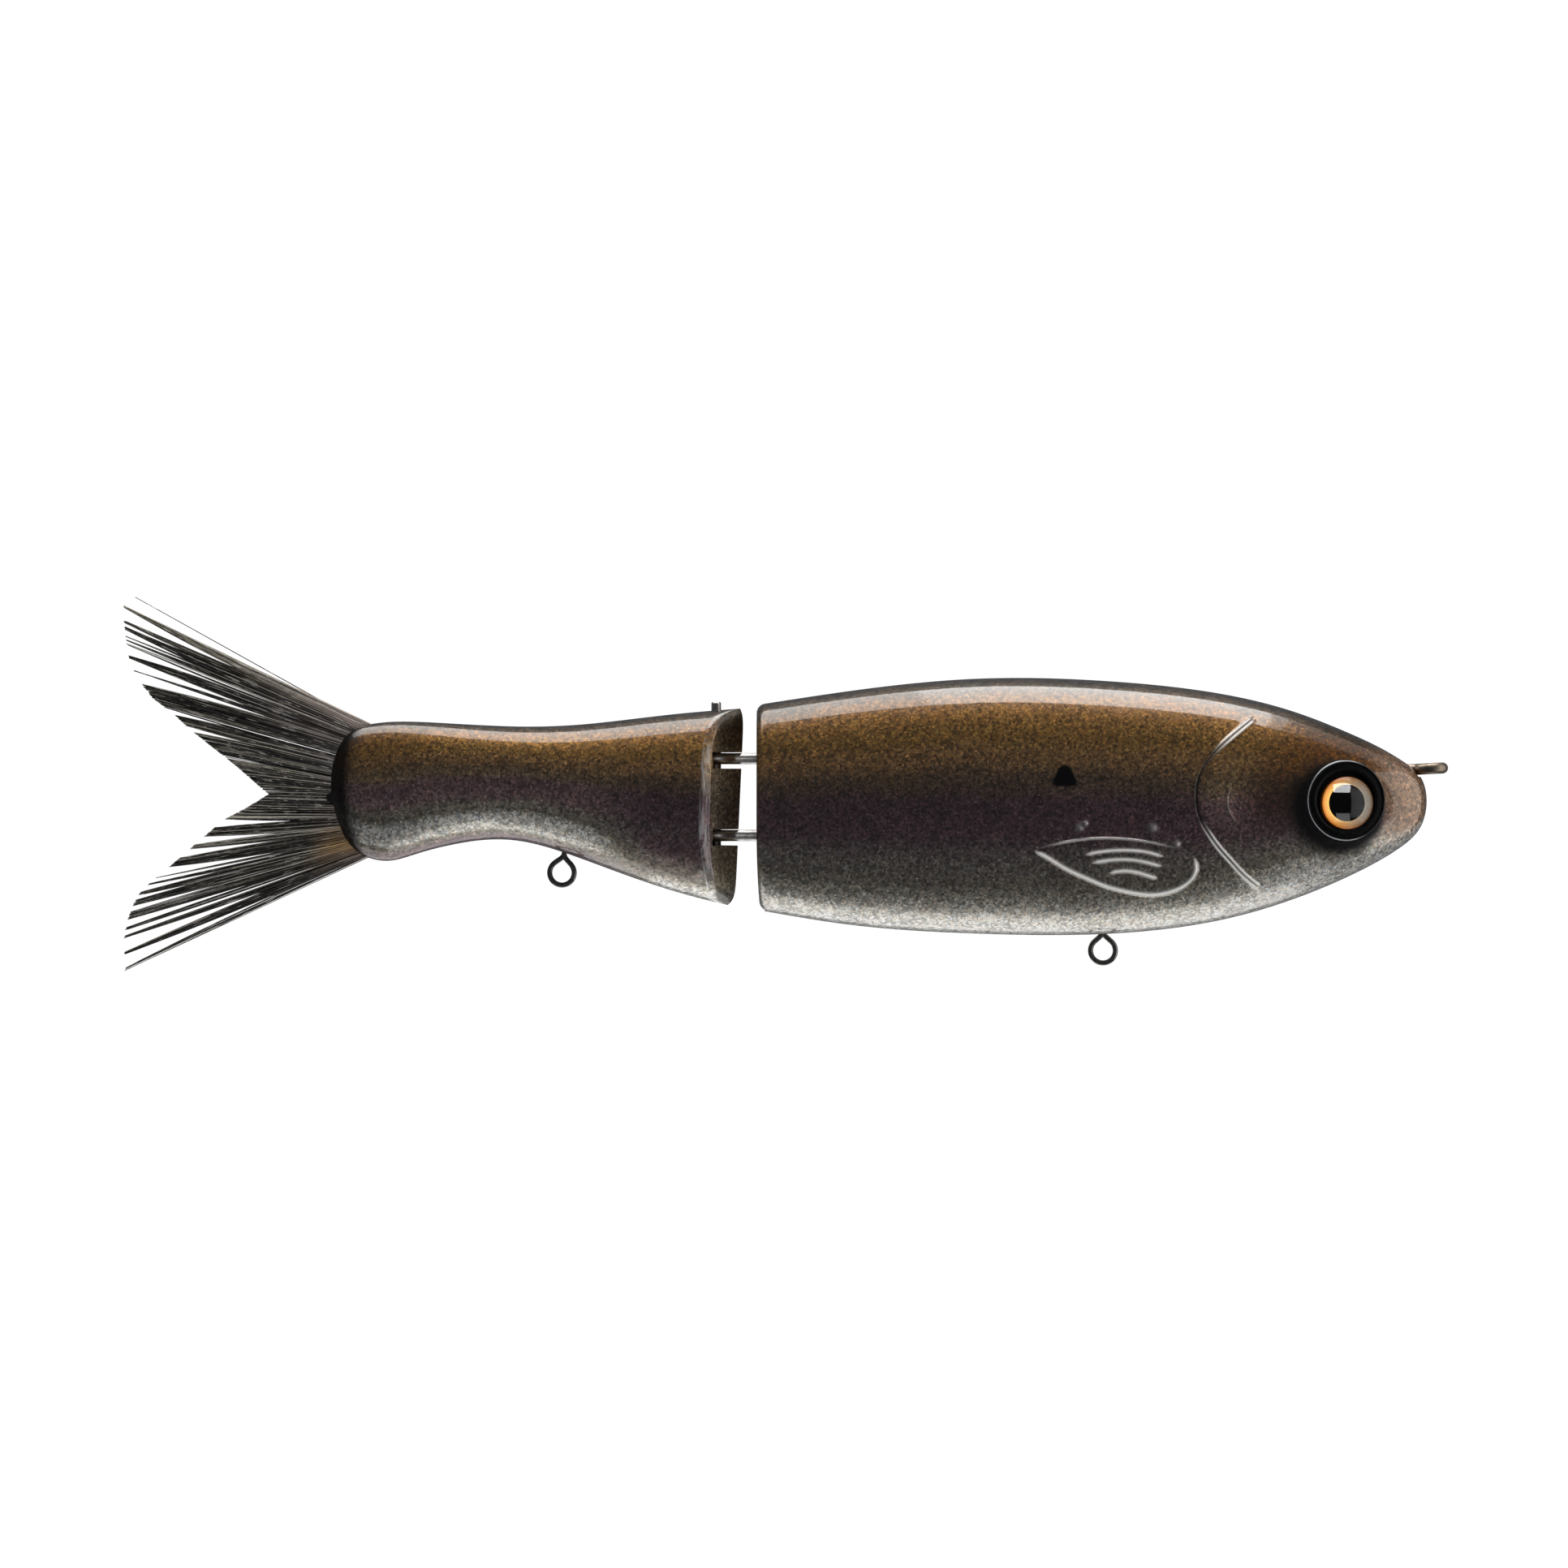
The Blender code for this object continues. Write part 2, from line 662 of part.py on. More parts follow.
def shared_head_cutters():
    made = chamber_cutters("head", head_outline, HEAD_CHAMBERS, HEAD_PEGS, BELLY_HANGER)
    late = [slug_cutter("fore_pocket", FORE_BALLAST), slug_cutter("aft_pocket", AFT_BALLAST)]
    for label, z in (("upper", UPPER_EYE_Z), ("lower", LOWER_EYE_Z)):
        end = PIN_X + EYE_SHANK_END + FIT_GAP
        bore = EYE_WIRE_RADIUS + FIT_GAP
        late.append(rod(label + "_eye_bore", cutters, bore, (JOINT_FACE_X - 2, 0, z), (end, 0, z), sides=20))
    back = Vector((-math.cos(LINE_TIE_TILT), 0, math.sin(LINE_TIE_TILT)))
    reach = EYE_SHANK_END + FIT_GAP
    late.append(rod("tie_bore", cutters, EYE_WIRE_RADIUS + FIT_GAP, (0, 0, 0), back * reach, sides=20))
    seat = rod("tie_seat", cutters, EYE_RING_RADIUS + EYE_WIRE_RADIUS + 0.35, (0, 0, -1.35), (0, 0, 1.5), sides=32)
    seat.rotation_mode = "XYZ"
    seat.rotation_euler = (0, LINE_TIE_TILT, 0)
    late.append(seat)
    late += hanger_cutters("belly", BELLY_HANGER)
    return made, late


def head_shell(side, word, chambers, late):
    name = f"front_shell_{word}"
    shell = add_object(name, half_body(name, head_rings(13), side), parts, "shell")
    for cutter in chambers:
        cut(shell, cutter)
    add_pegs(shell, head_outline, side, HEAD_PEGS)
    for cutter in late:
        cut(shell, cutter)
    cut(shell, socket_cutter(side, word))
    return shell


def shared_tail_cutters():
    chambers = chamber_cutters("tail", tail_outline, TAIL_CHAMBERS, TAIL_PEGS, REAR_HANGER)
    late = [slug_cutter("rear_pocket", REAR_BALLAST)]
    for label, z in (("upper", UPPER_EYE_Z), ("lower", LOWER_EYE_Z)):
        slot = add_object(
            label + "_slot", cylinder_mesh(label + "_slot", SLOT_CUTTER_RADIUS, SLOT_HEIGHT, 48), cutters
        )
        place(slot, SLOT_BACK_X + SLOT_CUTTER_RADIUS, 0, z - SLOT_DROP)
        late.append(slot)
    low, high = PIN_BOTTOM_Z - 0.3, PIN_TOP_Z + 3
    late.append(rod("pin_bore", cutters, PIN_RADIUS + FIT_GAP, (PIN_X, 0, low), (PIN_X, 0, high), sides=20))
    root = add_object("root_slot", box_mesh("root_slot", (12.0, 2 * ROOT_SLOT_HALF, 40.0)), cutters)
    place(root, FAN_AXIS_X - 6.0, 0, -4)
    late.append(root)
    late += hanger_cutters("rear", REAR_HANGER)
    return chambers, late


def tail_shell(side, word, chambers, late):
    name = f"rear_shell_{word}"
    shell = add_object(name, half_body(name, tail_rings(13), side), parts, "shell")
    for cutter in chambers:
        cut(shell, cutter)
    add_pegs(shell, tail_outline, side, TAIL_PEGS)
    for cutter in late:
        cut(shell, cutter)
    return shell


# ---------------------------------------------------------------- hinge pin and bristle tail


def hinge_pin():
    chamfer = 0.2
    top, bottom = PIN_TOP_Z, PIN_BOTTOM_Z
    profile = [(0, top), (PIN_RADIUS - chamfer, top), (PIN_RADIUS, top - chamfer)]
    profile += [(PIN_RADIUS, bottom + chamfer), (PIN_RADIUS - chamfer, bottom), (0, bottom)]
    return place(turned("hinge_pin", profile, parts, "steel", steps=16), PIN_X, 0, 0)


def end_arc(z_from, z_to, shift, count):
    """Points down the tail section's blunt end seen from the side, moved back by shift."""
    top_x = FAN_AXIS_X
    top, bottom, _ = tail_outline(top_x)
    points = []
    for z in np.linspace(z_from, z_to, count):
        low, high = TAIL_END_X, top_x
        for _ in range(40):
            middle = (low + high) / 2
            t, b, _ = tail_outline(middle)
            inside = b <= z <= t
            low, high = (low, middle) if inside else (middle, high)
        points.append((min(high, top_x) - shift, z))
    return points


def tail_root():
    """The bonded butt of the bristles, which fills the slot in the tail section's end."""
    arc = end_arc(5.6, -12.6, -0.7, 9)
    front = FAN_AXIS_X - 0.35
    corners = [(front, 5.6)] + [(min(x, front - 1), z) for x, z in arc] + [(front, -12.6)]
    data = bpy.data.curves.new("tail_root", "CURVE")
    data.dimensions = "2D"
    data.fill_mode = "BOTH"
    data.extrude = ROOT_HALF * MM
    spline = data.splines.new("POLY")
    spline.points.add(len(corners) - 1)
    for knot, (x, z) in zip(spline.points, corners):
        knot.co = (x * MM, z * MM, 0.0, 1.0)
    spline.use_cyclic_u = True
    obj = bpy.data.objects.new("tail_root", data)
    parts.objects.link(obj)
    obj.rotation_euler = (math.pi / 2, 0, 0)
    return as_mesh(obj, parts, "resin")


def fan_lobe(name, root, tips):
    """A flat tuft lofted from its root line to its tip line, given as x and z, thinner at the tip."""
    bm = bmesh.new()
    across, along = len(root), 6
    sheets = []
    for side in (1, -1):
        grid = []
        for j in range(along + 1):
            share = j / along
            half = side * (FAN_ROOT_THICK + (FAN_TIP_THICK - FAN_ROOT_THICK) * share) / 2
            row = []
            for (x0, z0), (x1, z1) in zip(root, tips):
                x, z = x0 + (x1 - x0) * share, z0 + (z1 - z0) * share
                row.append(bm.verts.new(Vector((x, half, z)) * MM))
            grid.append(row)
        sheets.append(grid)
    near, far = sheets
    for grid in sheets:
        for j in range(along):
            for i in range(across - 1):
                bm.faces.new((grid[j][i], grid[j][i + 1], grid[j + 1][i + 1], grid[j + 1][i]))
    for j in range(along):
        for i in (0, across - 1):
            bm.faces.new((near[j][i], near[j + 1][i], far[j + 1][i], far[j][i]))
    for i in range(across - 1):
        for j in (0, along):
            bm.faces.new((near[j][i], near[j][i + 1], far[j][i + 1], far[j][i]))
    mesh = mesh_from(name, bm, 30)
    return add_object(name, mesh, parts, "bristle")


def between(a, b, count):
    return [(a[0] + (b[0] - a[0]) * i / (count - 1), a[1] + (b[1] - a[1]) * i / (count - 1)) for i in range(count)]


def bristle_tail():
    split = FAN_NOTCH[1]
    gap = 0.45
    upper_root = end_arc(7.2, split + 0.2, gap, 9)
    lower_root = end_arc(split - 0.2, -15.0, gap, 9)
    upper_tips = between(FAN_TOP, FAN_TOP_INNER, 3)[:-1]
    upper_tips += between(FAN_TOP_INNER, (FAN_NOTCH[0], split + 0.2), 7)
    lower_tips = between((FAN_NOTCH[0], split - 0.2), FAN_LOW_INNER, 7)
    lower_tips += between(FAN_LOW_INNER, FAN_LOW, 3)[1:]
    fan_lobe("tail_upper_tuft", upper_root, upper_tips)
    fan_lobe("tail_lower_tuft", lower_root, lower_tips)


def build():
    global parts, cutters
    clear_scene()
    parts = new_collection("swimbait")
    cutters = new_collection("cutters")
    chambers, late = shared_head_cutters()
    for side, word in ((1, "left"), (-1, "right")):
        head_shell(side, word, chambers, late)
        eye(side, word)
    chambers, late = shared_tail_cutters()
    for side, word in ((1, "left"), (-1, "right")):
        tail_shell(side, word, chambers, late)
    screw_eye("line_tie_eye", 0, 0, -1, LINE_TIE_TILT)
    screw_eye("upper_hinge_eye", PIN_X, UPPER_EYE_Z, 1)
    screw_eye("lower_hinge_eye", PIN_X, LOWER_EYE_Z, 1)
    hook_hanger("belly_hook_hanger", BELLY_HANGER)
    hook_hanger("rear_hook_hanger", REAR_HANGER)
    ballast("fore_ballast", FORE_BALLAST)
    ballast("aft_ballast", AFT_BALLAST)
    ballast("rear_ballast", REAR_BALLAST)
    hinge_pin()
    tail_root()
    bristle_tail()


build()
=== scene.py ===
"""The swimbait's looks: smooth painted skins with the moulded gill and fin lines, eyes, wire hardware and
the bristle tail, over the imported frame, in a plain white studio."""

import math

import bmesh
import bpy
import numpy as np
from mathutils import Matrix, Vector


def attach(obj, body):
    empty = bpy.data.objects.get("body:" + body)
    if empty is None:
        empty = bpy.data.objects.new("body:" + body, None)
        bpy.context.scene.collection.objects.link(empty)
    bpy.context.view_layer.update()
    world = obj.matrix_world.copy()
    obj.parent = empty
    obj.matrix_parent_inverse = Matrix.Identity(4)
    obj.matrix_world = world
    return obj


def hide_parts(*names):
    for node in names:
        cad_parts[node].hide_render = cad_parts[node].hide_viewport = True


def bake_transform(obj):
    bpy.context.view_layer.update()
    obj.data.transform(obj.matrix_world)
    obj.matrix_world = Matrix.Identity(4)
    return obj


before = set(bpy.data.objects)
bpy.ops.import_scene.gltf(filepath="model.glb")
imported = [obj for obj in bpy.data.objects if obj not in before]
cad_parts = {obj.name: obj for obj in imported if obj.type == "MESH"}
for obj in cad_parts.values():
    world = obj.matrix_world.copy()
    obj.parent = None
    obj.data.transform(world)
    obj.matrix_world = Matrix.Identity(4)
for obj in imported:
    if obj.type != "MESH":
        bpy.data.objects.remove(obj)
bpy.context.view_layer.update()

MM = 0.001
random = np.random.default_rng(7)

# ---------------------------------------------------------------- the body's shape
# As in the CAD, but for a finer seam, lower hinge slots and a slightly deeper notch in the fan.

NOSE_X = -0.6
NOSE_Z = -5.6
JOINT_FACE_X = -118.2
V_APEX_X = -120.4
TAIL_END_X = -193.1
TAIL_END_Z = -2.6
SEAM = 0.03
SECTION_POWER = 2.25
HEAD_STATIONS = (
    (NOSE_X, NOSE_Z, NOSE_Z, 0.0), (-1.7, -1.4, -10.3, 3.9), (-4.6, 1.2, -13.4, 6.2),
    (-8.8, 3.7, -16.1, 8.2), (-16.0, 7.0, -19.7, 10.4), (-24.5, 10.2, -23.1, 12.2),
    (-35.9, 13.0, -26.4, 13.5), (-58.7, 15.5, -29.1, 14.3), (-81.5, 15.7, -28.9, 13.9),
    (-104.3, 13.3, -27.1, 12.6), (JOINT_FACE_X, 11.2, -24.8, 11.6),
)
TAIL_STATIONS = (
    (TAIL_END_X, TAIL_END_Z, TAIL_END_Z, 0.0), (-192.1, 2.9, -8.3, 3.1), (-189.8, 6.5, -13.4, 4.6),
    (-186.2, 7.8, -15.7, 5.7), (-182.7, 8.2, -16.2, 6.3), (-177.0, 8.2, -14.7, 6.9),
    (-171.3, 7.9, -13.3, 7.4), (-165.6, 7.6, -12.5, 7.9), (-159.9, 7.4, -12.7, 8.4),
    (-148.5, 7.8, -16.0, 9.4), (-131.4, 9.7, -21.9, 10.8), (V_APEX_X, 10.6, -24.6, 11.6),
)
V_START_X = -131.0
V_SLOPE = 1.89
V_TOP_SHALLOW = 0.47
V_KEEL_SHALLOW = 0.73
V_APEX_ROUND = 0.35
V_CHAMFER = 0.07
V_CHAMFER_SLOPE = 0.6
V_EDGE_BLEND = 0.3
V_EDGE_RAKE = 1.6
V_TOP_CORNER = 0.7
V_BOTTOM_CORNER = 1.3
RIM_ROUND = 1.4
FACE_BOW = 0.9

PIN_X = -125.3
PIN_RADIUS = 0.85
PIN_TOP_Z = 11.7
PIN_BOTTOM_Z = -16.0
UPPER_EYE_Z = 1.75
LOWER_EYE_Z = -11.75
SLOT_HEIGHT = 2.85
SLOT_CUTTER_RADIUS = 14.0
SLOT_BACK_X = -129.0
SLOT_DROP = 0.325
RING_WIRE = 1.0
RING_RADIUS = 2.2
SHANK_END = 15.6
LINE_TIE_TILT = math.radians(-3)

EYE_X = -15.55
EYE_Z = -5.6
EYE_LEAN = math.radians(10)
IRIS_SHIFT = (0.35, -0.4)
EYE_RADIUS = 7.0
SOCKET_DEPTH = 3.2
IRIS_RADIUS = 4.6
LENS_CURVE = 6.2

HANGER_WIRE_RADIUS = 0.46
HANGER_LOOP_RADIUS = 2.18
BELLY_HANGER = (-57.4, -29.2, 0.0)
REAR_HANGER = (-152.05, -15.55, math.radians(7))
HANGER_DROP = 2.75
HANGER_NECK = 2.3

FAN_AXIS_X = -186.4
FAN_NOTCH = (-203.9, -4.5)
ROOT_SLOT_HALF = 1.7


def cubic_through(xs, ys):
    """A natural cubic spline through the points, for arrays of x."""
    order = np.argsort(xs)
    xs, ys = np.array(xs, float)[order], np.array(ys, float)[order]
    step = np.diff(xs)
    slope = np.diff(ys) / step
    count = len(xs)
    matrix, right = np.eye(count), np.zeros(count)
    for i in range(1, count - 1):
        matrix[i, i - 1 : i + 2] = step[i - 1], 2 * (step[i - 1] + step[i]), step[i]
        right[i] = 6 * (slope[i] - slope[i - 1])
    bend = np.linalg.solve(matrix, right)

    def value(x):
        x = np.asarray(x, float)
        i = np.clip(np.searchsorted(xs, x) - 1, 0, count - 2)
        before, after, h = x - xs[i], xs[i + 1] - x, step[i]
        curve = (bend[i] * after**3 + bend[i + 1] * before**3) / (6 * h)
        line = (ys[i] / h - bend[i] * h / 6) * after
        return curve + line + (ys[i + 1] / h - bend[i + 1] * h / 6) * before

    return value


def outline(stations):
    """Top, bottom and half width as functions of x, rounded at the blunt end where the stations start."""
    blunt = stations[0][0]
    roots = [math.sqrt(abs(s[0] - blunt)) for s in stations]
    curves = [cubic_through(roots, [s[k] for s in stations]) for k in (1, 2, 3)]

    def at(x):
        root = np.sqrt(np.abs(np.asarray(x, float) - blunt))
        return tuple(curve(root) for curve in curves)

    return at


head_outline = outline(HEAD_STATIONS)
tail_outline = outline(TAIL_STATIONS)


def section_point(at, x, height, inset=0.0):
    """Half width and z at this height, 1 at the back to -1 at the belly, moved in by inset."""
    top, bottom, half_width = at(x)
    middle, half_height = (top + bottom) / 2, np.maximum((top - bottom) / 2 - inset, 0.01)
    across = (1 - np.minimum(1.0, np.abs(height)) ** SECTION_POWER) ** (1 / SECTION_POWER)
    return np.maximum(half_width - inset, 0.01) * across, middle + half_height * height


def heights(count):
    """Heights round a section, from 1 at its top to -1 at its bottom."""
    angles = np.linspace(math.pi / 2, -math.pi / 2, count)
    return np.sign(np.sin(angles)) * np.abs(np.sin(angles)) ** (2 / SECTION_POWER)


def line_levels():
    """Heights round the head's section, close together where the flank carries moulded lines."""
    over, under = 0.88, -0.80
    rest = heights(130)
    return np.concatenate([rest[rest > over], np.linspace(over, under, 262), rest[rest < under]])


def height_at(at, x, z):
    """Height of a point on the section at its x."""
    top, bottom, _ = at(x)
    return np.clip((z - (top + bottom) / 2) / np.maximum((top - bottom) / 2, 0.3), -1, 1)


def soft_least(a, b, blend):
    """The lesser of two values, rounded over blend where they meet."""
    share = np.maximum(blend - np.abs(a - b), 0.0) / blend
    return np.minimum(a, b) - share * share * blend / 4


def soft_step(low, high, value):
    """0 below low, 1 above high, and smooth between them."""
    t = np.clip((value - low) / (high - low), 0, 1)
    return t * t * (3 - 2 * t)


# ---------------------------------------------------------------- moulded lines on the flank


def smooth_line(points, count=60):
    """Points evenly along a smooth curve through the given points."""
    points = np.array(points, float)
    lengths = np.concatenate([[0], np.cumsum(np.hypot(*np.diff(points, axis=0).T))])
    at = np.linspace(0, lengths[-1], count)
    return np.stack([cubic_through(lengths, points[:, k])(at) for k in (0, 1)], 1)


GILL = smooth_line(
    (
        (-31.4, 8.9), (-35.1, 6.0), (-37.3, 4.1), (-39.7, 1.5), (-41.5, -1.7), (-41.9, -4.7),
        (-41.3, -8.6), (-39.8, -11.2), (-37.9, -13.8), (-35.8, -16.1), (-33.6, -18.4), (-30.4, -20.9),
    )
)
CHEEK = smooth_line(((-35.8, -2.6), (-36.4, -5.1), (-36.3, -6.9), (-35.3, -8.8), (-34.0, -10.1)), 30)
FIN_TOP = smooth_line(
    (
        (-70.3, -14.2), (-66.7, -13.2), (-62.3, -12.4), (-58.0, -12.1), (-53.7, -12.3), (-50.5, -12.7),
        (-44.0, -14.2),
    )
)
FIN_LOW = smooth_line(
    (
        (-70.3, -14.2), (-68.1, -15.2), (-65.5, -16.8), (-61.2, -18.9), (-56.9, -20.6), (-52.5, -21.6),
        (-49.2, -21.9), (-46.0, -21.3), (-43.5, -20.1), (-42.2, -18.7), (-41.8, -16.9), (-42.5, -15.2),
    )
)
FIN_RAYS = (
    smooth_line(((-61.5, -15.0), (-58.0, -14.4), (-53.7, -14.2), (-50.5, -14.5), (-47.4, -15.4)), 30),
    smooth_line(((-60.3, -16.4), (-57.0, -15.9), (-52.6, -15.9), (-50.0, -16.4), (-47.6, -17.1)), 30),
    smooth_line(((-57.1, -18.2), (-55.2, -17.8), (-52.6, -17.9), (-50.4, -18.5), (-48.4, -19.2)), 30),
)
# Small raised dots in the coat; the paint also lightens them as a painted highlight.
PEARLS = ((-62.2, -10.3, 0.65), (-49.5, -10.3, 0.75), (-45.3, -13.1, 0.6), (-61.2, -9.5, 0.45))
GILL_LIP = 0.32
GILL_LIP_HALF = 0.18
GILL_GROOVE_HALF = 0.11
GILL_SHADOW_HALF = 0.42
FIN_LINE_HALF = (0.14, 0.30)
FAR_FROM_LINES = 3.0
GILL_HEIGHT = 0.10
FIN_HEIGHT = 0.22
PEARL_HEIGHT = 0.16
# The airbrushed shade round the eye.
AIRBRUSH_RADIUS = 7.2
AIRBRUSH_FADE = 2.5
# The gill, cheek and fin lines all lie between these.
LINES_REAR_X = -73
LINES_FRONT_X = -27


def distance_to(line, x, z):
    """Distance from each point to a line of points, and how far along it, from 0 to 1, the nearest is."""
    best, along = np.full(x.shape, 1e9), np.zeros(x.shape)
    count = len(line) - 1
    for i in range(count):
        a, d = line[i], line[i + 1] - line[i]
        t = np.clip(((x - a[0]) * d[0] + (z - a[1]) * d[1]) / (d @ d), 0, 1)
        gap = np.hypot(x - a[0] - t * d[0], z - a[1] - t * d[1])
        near = gap < best
        best[near], along[near] = gap[near], (i + t[near]) / count
    return best, along


def gill_marks(x, z):
    """Signed distance to the gill line, how strong its lips are, and how much of the line is there."""
    gap, along = distance_to(GILL, x, z)
    side = np.where(x > np.interp(z, GILL[::-1, 1], GILL[::-1, 0]), 1.0, -1.0)
    ends = soft_step(0, 0.03, along) * soft_step(0, 0.03, 1 - along)
    strong = soft_step(0.15, 0.30, np.abs(along - 0.42))
    return gap * side, ends * strong, ends


def fin_marks(x, z):
    """Distance to the nearest line of the fin or cheek, and how strong that line is."""
    lines = [(FIN_LOW, 1.0, 0.05), (FIN_TOP, 0.40, 0.25), (CHEEK, 0.10, 0.3)]
    lines += [(ray, 0.95, 0.12) for ray in FIN_RAYS]
    best, strength = np.full(x.shape, FAR_FROM_LINES), np.zeros(x.shape)
    for line, level, taper in lines:
        gap, along = distance_to(line, x, z)
        near = gap < best
        best[near] = gap[near]
        strength[near] = (level * soft_step(0, taper, along) * soft_step(0, taper, 1 - along))[near]
    return best, strength


def pearls(x, z):
    """How much of a small raised dot is at each point."""
    total = np.zeros(x.shape)
    for spot_x, spot_z, size in PEARLS:
        total += np.exp(-((np.hypot(x - spot_x, z - spot_z) / size) ** 2))
    return total


def relief(x, z):
    """How far the mould's lines stand out of the flank, in millimetres."""
    near = (x > LINES_REAR_X) & (x < LINES_FRONT_X)
    out = np.zeros(x.shape)
    px, pz = x[near], z[near]
    gap, strength, ends = gill_marks(px, pz)
    total = GILL_HEIGHT * strength * np.exp(-((gap / 0.6) ** 2))
    total = total - GILL_HEIGHT * ends * np.exp(-((gap / 0.22) ** 2))
    gap, strength = fin_marks(px, pz)
    total += FIN_HEIGHT * strength * np.exp(-((gap / 0.3) ** 2))
    out[near] = total + PEARL_HEIGHT * pearls(px, pz)
    return out


def store_lines(mesh, x, z):
    """Stores what the paint needs to draw the moulded lines with their painted highlights and painted shade:
    distances in millimetres, and strengths.
    """
    near = (x > LINES_REAR_X) & (x < LINES_FRONT_X)
    named = {name: np.zeros(x.shape) for name in ("gill_lips", "gill_ends", "line_strength", "raised_dot_and_highlight")}
    gill_gap = np.where(x > GILL[:, 0].mean(), FAR_FROM_LINES, -FAR_FROM_LINES)
    line_gap = np.full(x.shape, FAR_FROM_LINES)
    px, pz = x[near], z[near]
    gap, strength, ends = gill_marks(px, pz)
    gill_gap[near] = np.clip(gap, -FAR_FROM_LINES, FAR_FROM_LINES)
    named["gill_lips"][near], named["gill_ends"][near] = strength, ends
    line_gap[near], named["line_strength"][near] = fin_marks(px, pz)
    # The dots' strength also drives their painted highlight.
    named["raised_dot_and_highlight"][near] = 0.4 * pearls(px, pz)
    store(mesh, "gill_gap", gill_gap)
    store(mesh, "line_gap", line_gap)
    for name, values in named.items():
        store(mesh, name, values)


# ---------------------------------------------------------------- meshes


def add_object(name, mesh, material=None):
    obj = bpy.data.objects.new(name, mesh)
    bpy.context.scene.collection.objects.link(obj)
    if material:
        mesh.materials.clear()
        mesh.materials.append(material)
    return obj


def mesh_from(bm, name):
    mesh = bpy.data.meshes.new(name)
    bm.to_mesh(mesh)
    bm.free()
    return mesh


def mesh_of(name, points, faces, smooth_below):
    """A mesh from points in millimetres."""
    mesh = bpy.data.meshes.new(name)
    mesh.from_pydata((np.asarray(points, float) * MM).tolist(), [], faces)
    mesh.update()
    finish_normals(mesh, smooth_below)
    return mesh


def finish_normals(mesh, smooth_below=35):
    bm = bmesh.new()
    bm.from_mesh(mesh)
    bmesh.ops.remove_doubles(bm, verts=bm.verts, dist=0.001 * MM)
    bmesh.ops.recalc_face_normals(bm, faces=bm.faces)
    bm.to_mesh(mesh)
    bm.free()
    mesh.shade_smooth()
    mesh.set_sharp_from_angle(angle=math.radians(smooth_below))


def grid_faces(rows, columns):
    """Quads of a grid of points stored row by row."""
    faces = []
    for i in range(rows - 1):
        a = i * columns
        for j in range(columns - 1):
            faces.append((a + j, a + j + 1, a + columns + j + 1, a + columns + j))
    return faces


def ring_faces(rings, steps):
    """Quads between closed rings of points stored one after another."""
    faces = []
    for i in range(rings - 1):
        a, b = i * steps, (i + 1) * steps
        for j in range(steps):
            k = (j + 1) % steps
            faces.append((a + j, a + k, b + k, b + j))
    return faces


def closed_half(name, grid):
    """A closed half body from a grid of points (rings, levels, xyz)."""
    rings, levels, _ = grid.shape
    faces = grid_faces(rings, levels)
    for i in range(rings - 1):
        a, b = i * levels, (i + 1) * levels
        faces.append((a + levels - 1, a, b, b + levels - 1))
    faces.append(tuple(range(levels)))
    faces.append(tuple(range((rings - 1) * levels, rings * levels))[::-1])
    return mesh_of(name, grid.reshape(-1, 3), faces, 35)


def head_grid(side):
    tip = NOSE_X - np.linspace(0.1, 2.7, 34) ** 2
    cheek = np.arange(tip[-1] - 0.45, -28.0, -0.45)
    lines = np.arange(cheek[-1] - 0.14, -72.0, -0.14)
    flank = np.linspace(lines[-1] - 0.9, JOINT_FACE_X + RIM_ROUND, 48)
    xs = np.concatenate([tip, cheek, lines, flank])
    levels = line_levels()
    y, z = section_point(head_outline, xs[:, None], levels[None, :])
    x = np.broadcast_to(xs[:, None], y.shape)
    slope = np.gradient(y, axis=1) / np.gradient(z, axis=1)
    out = relief(x, z)
    lift = out / np.sqrt(1 + slope**2)
    y, z = y + lift, z - lift * np.clip(slope, -3, 3)
    rows = [np.stack([x, y, z], 2)]
    for turn in np.linspace(0, math.pi / 2, 9)[1:]:
        inset = RIM_ROUND * (1 - math.cos(turn))
        at_x = JOINT_FACE_X + RIM_ROUND * (1 - math.sin(turn))
        ry, rz = section_point(head_outline, at_x, levels, inset)
        rows.append(face_ring(at_x, ry, rz)[None])
    for scale in (0.97, 0.85, 0.6, 0.3, 0.02):
        ry, rz = section_point(head_outline, JOINT_FACE_X, levels, RIM_ROUND)
        middle = (rz[0] + rz[-1]) / 2
        rows.append(face_ring(JOINT_FACE_X, ry * scale, middle + (rz - middle) * scale)[None])
    grid = np.concatenate(rows, 0)
    grid[..., 1] = side * np.maximum(grid[..., 1], SEAM / 2)
    return grid


def face_ring(x, y, z):
    """A ring on the rear face, which leans forward towards the belly."""
    top, bottom, _ = head_outline(JOINT_FACE_X)
    low = np.maximum(0.0, -((z - (top + bottom) / 2) / ((top - bottom) / 2)) - 0.2)
    return np.stack([x + FACE_BOW * low * low, y, z], 1)


def v_slope(height):
    """How fast the V widens behind its edge, less at the back and close to the keel."""
    top = V_TOP_SHALLOW * np.maximum(height, 0.0) ** 2
    keel = V_KEEL_SHALLOW * np.maximum(-height, 0.0) ** 8
    return V_SLOPE * (1 - top - keel)


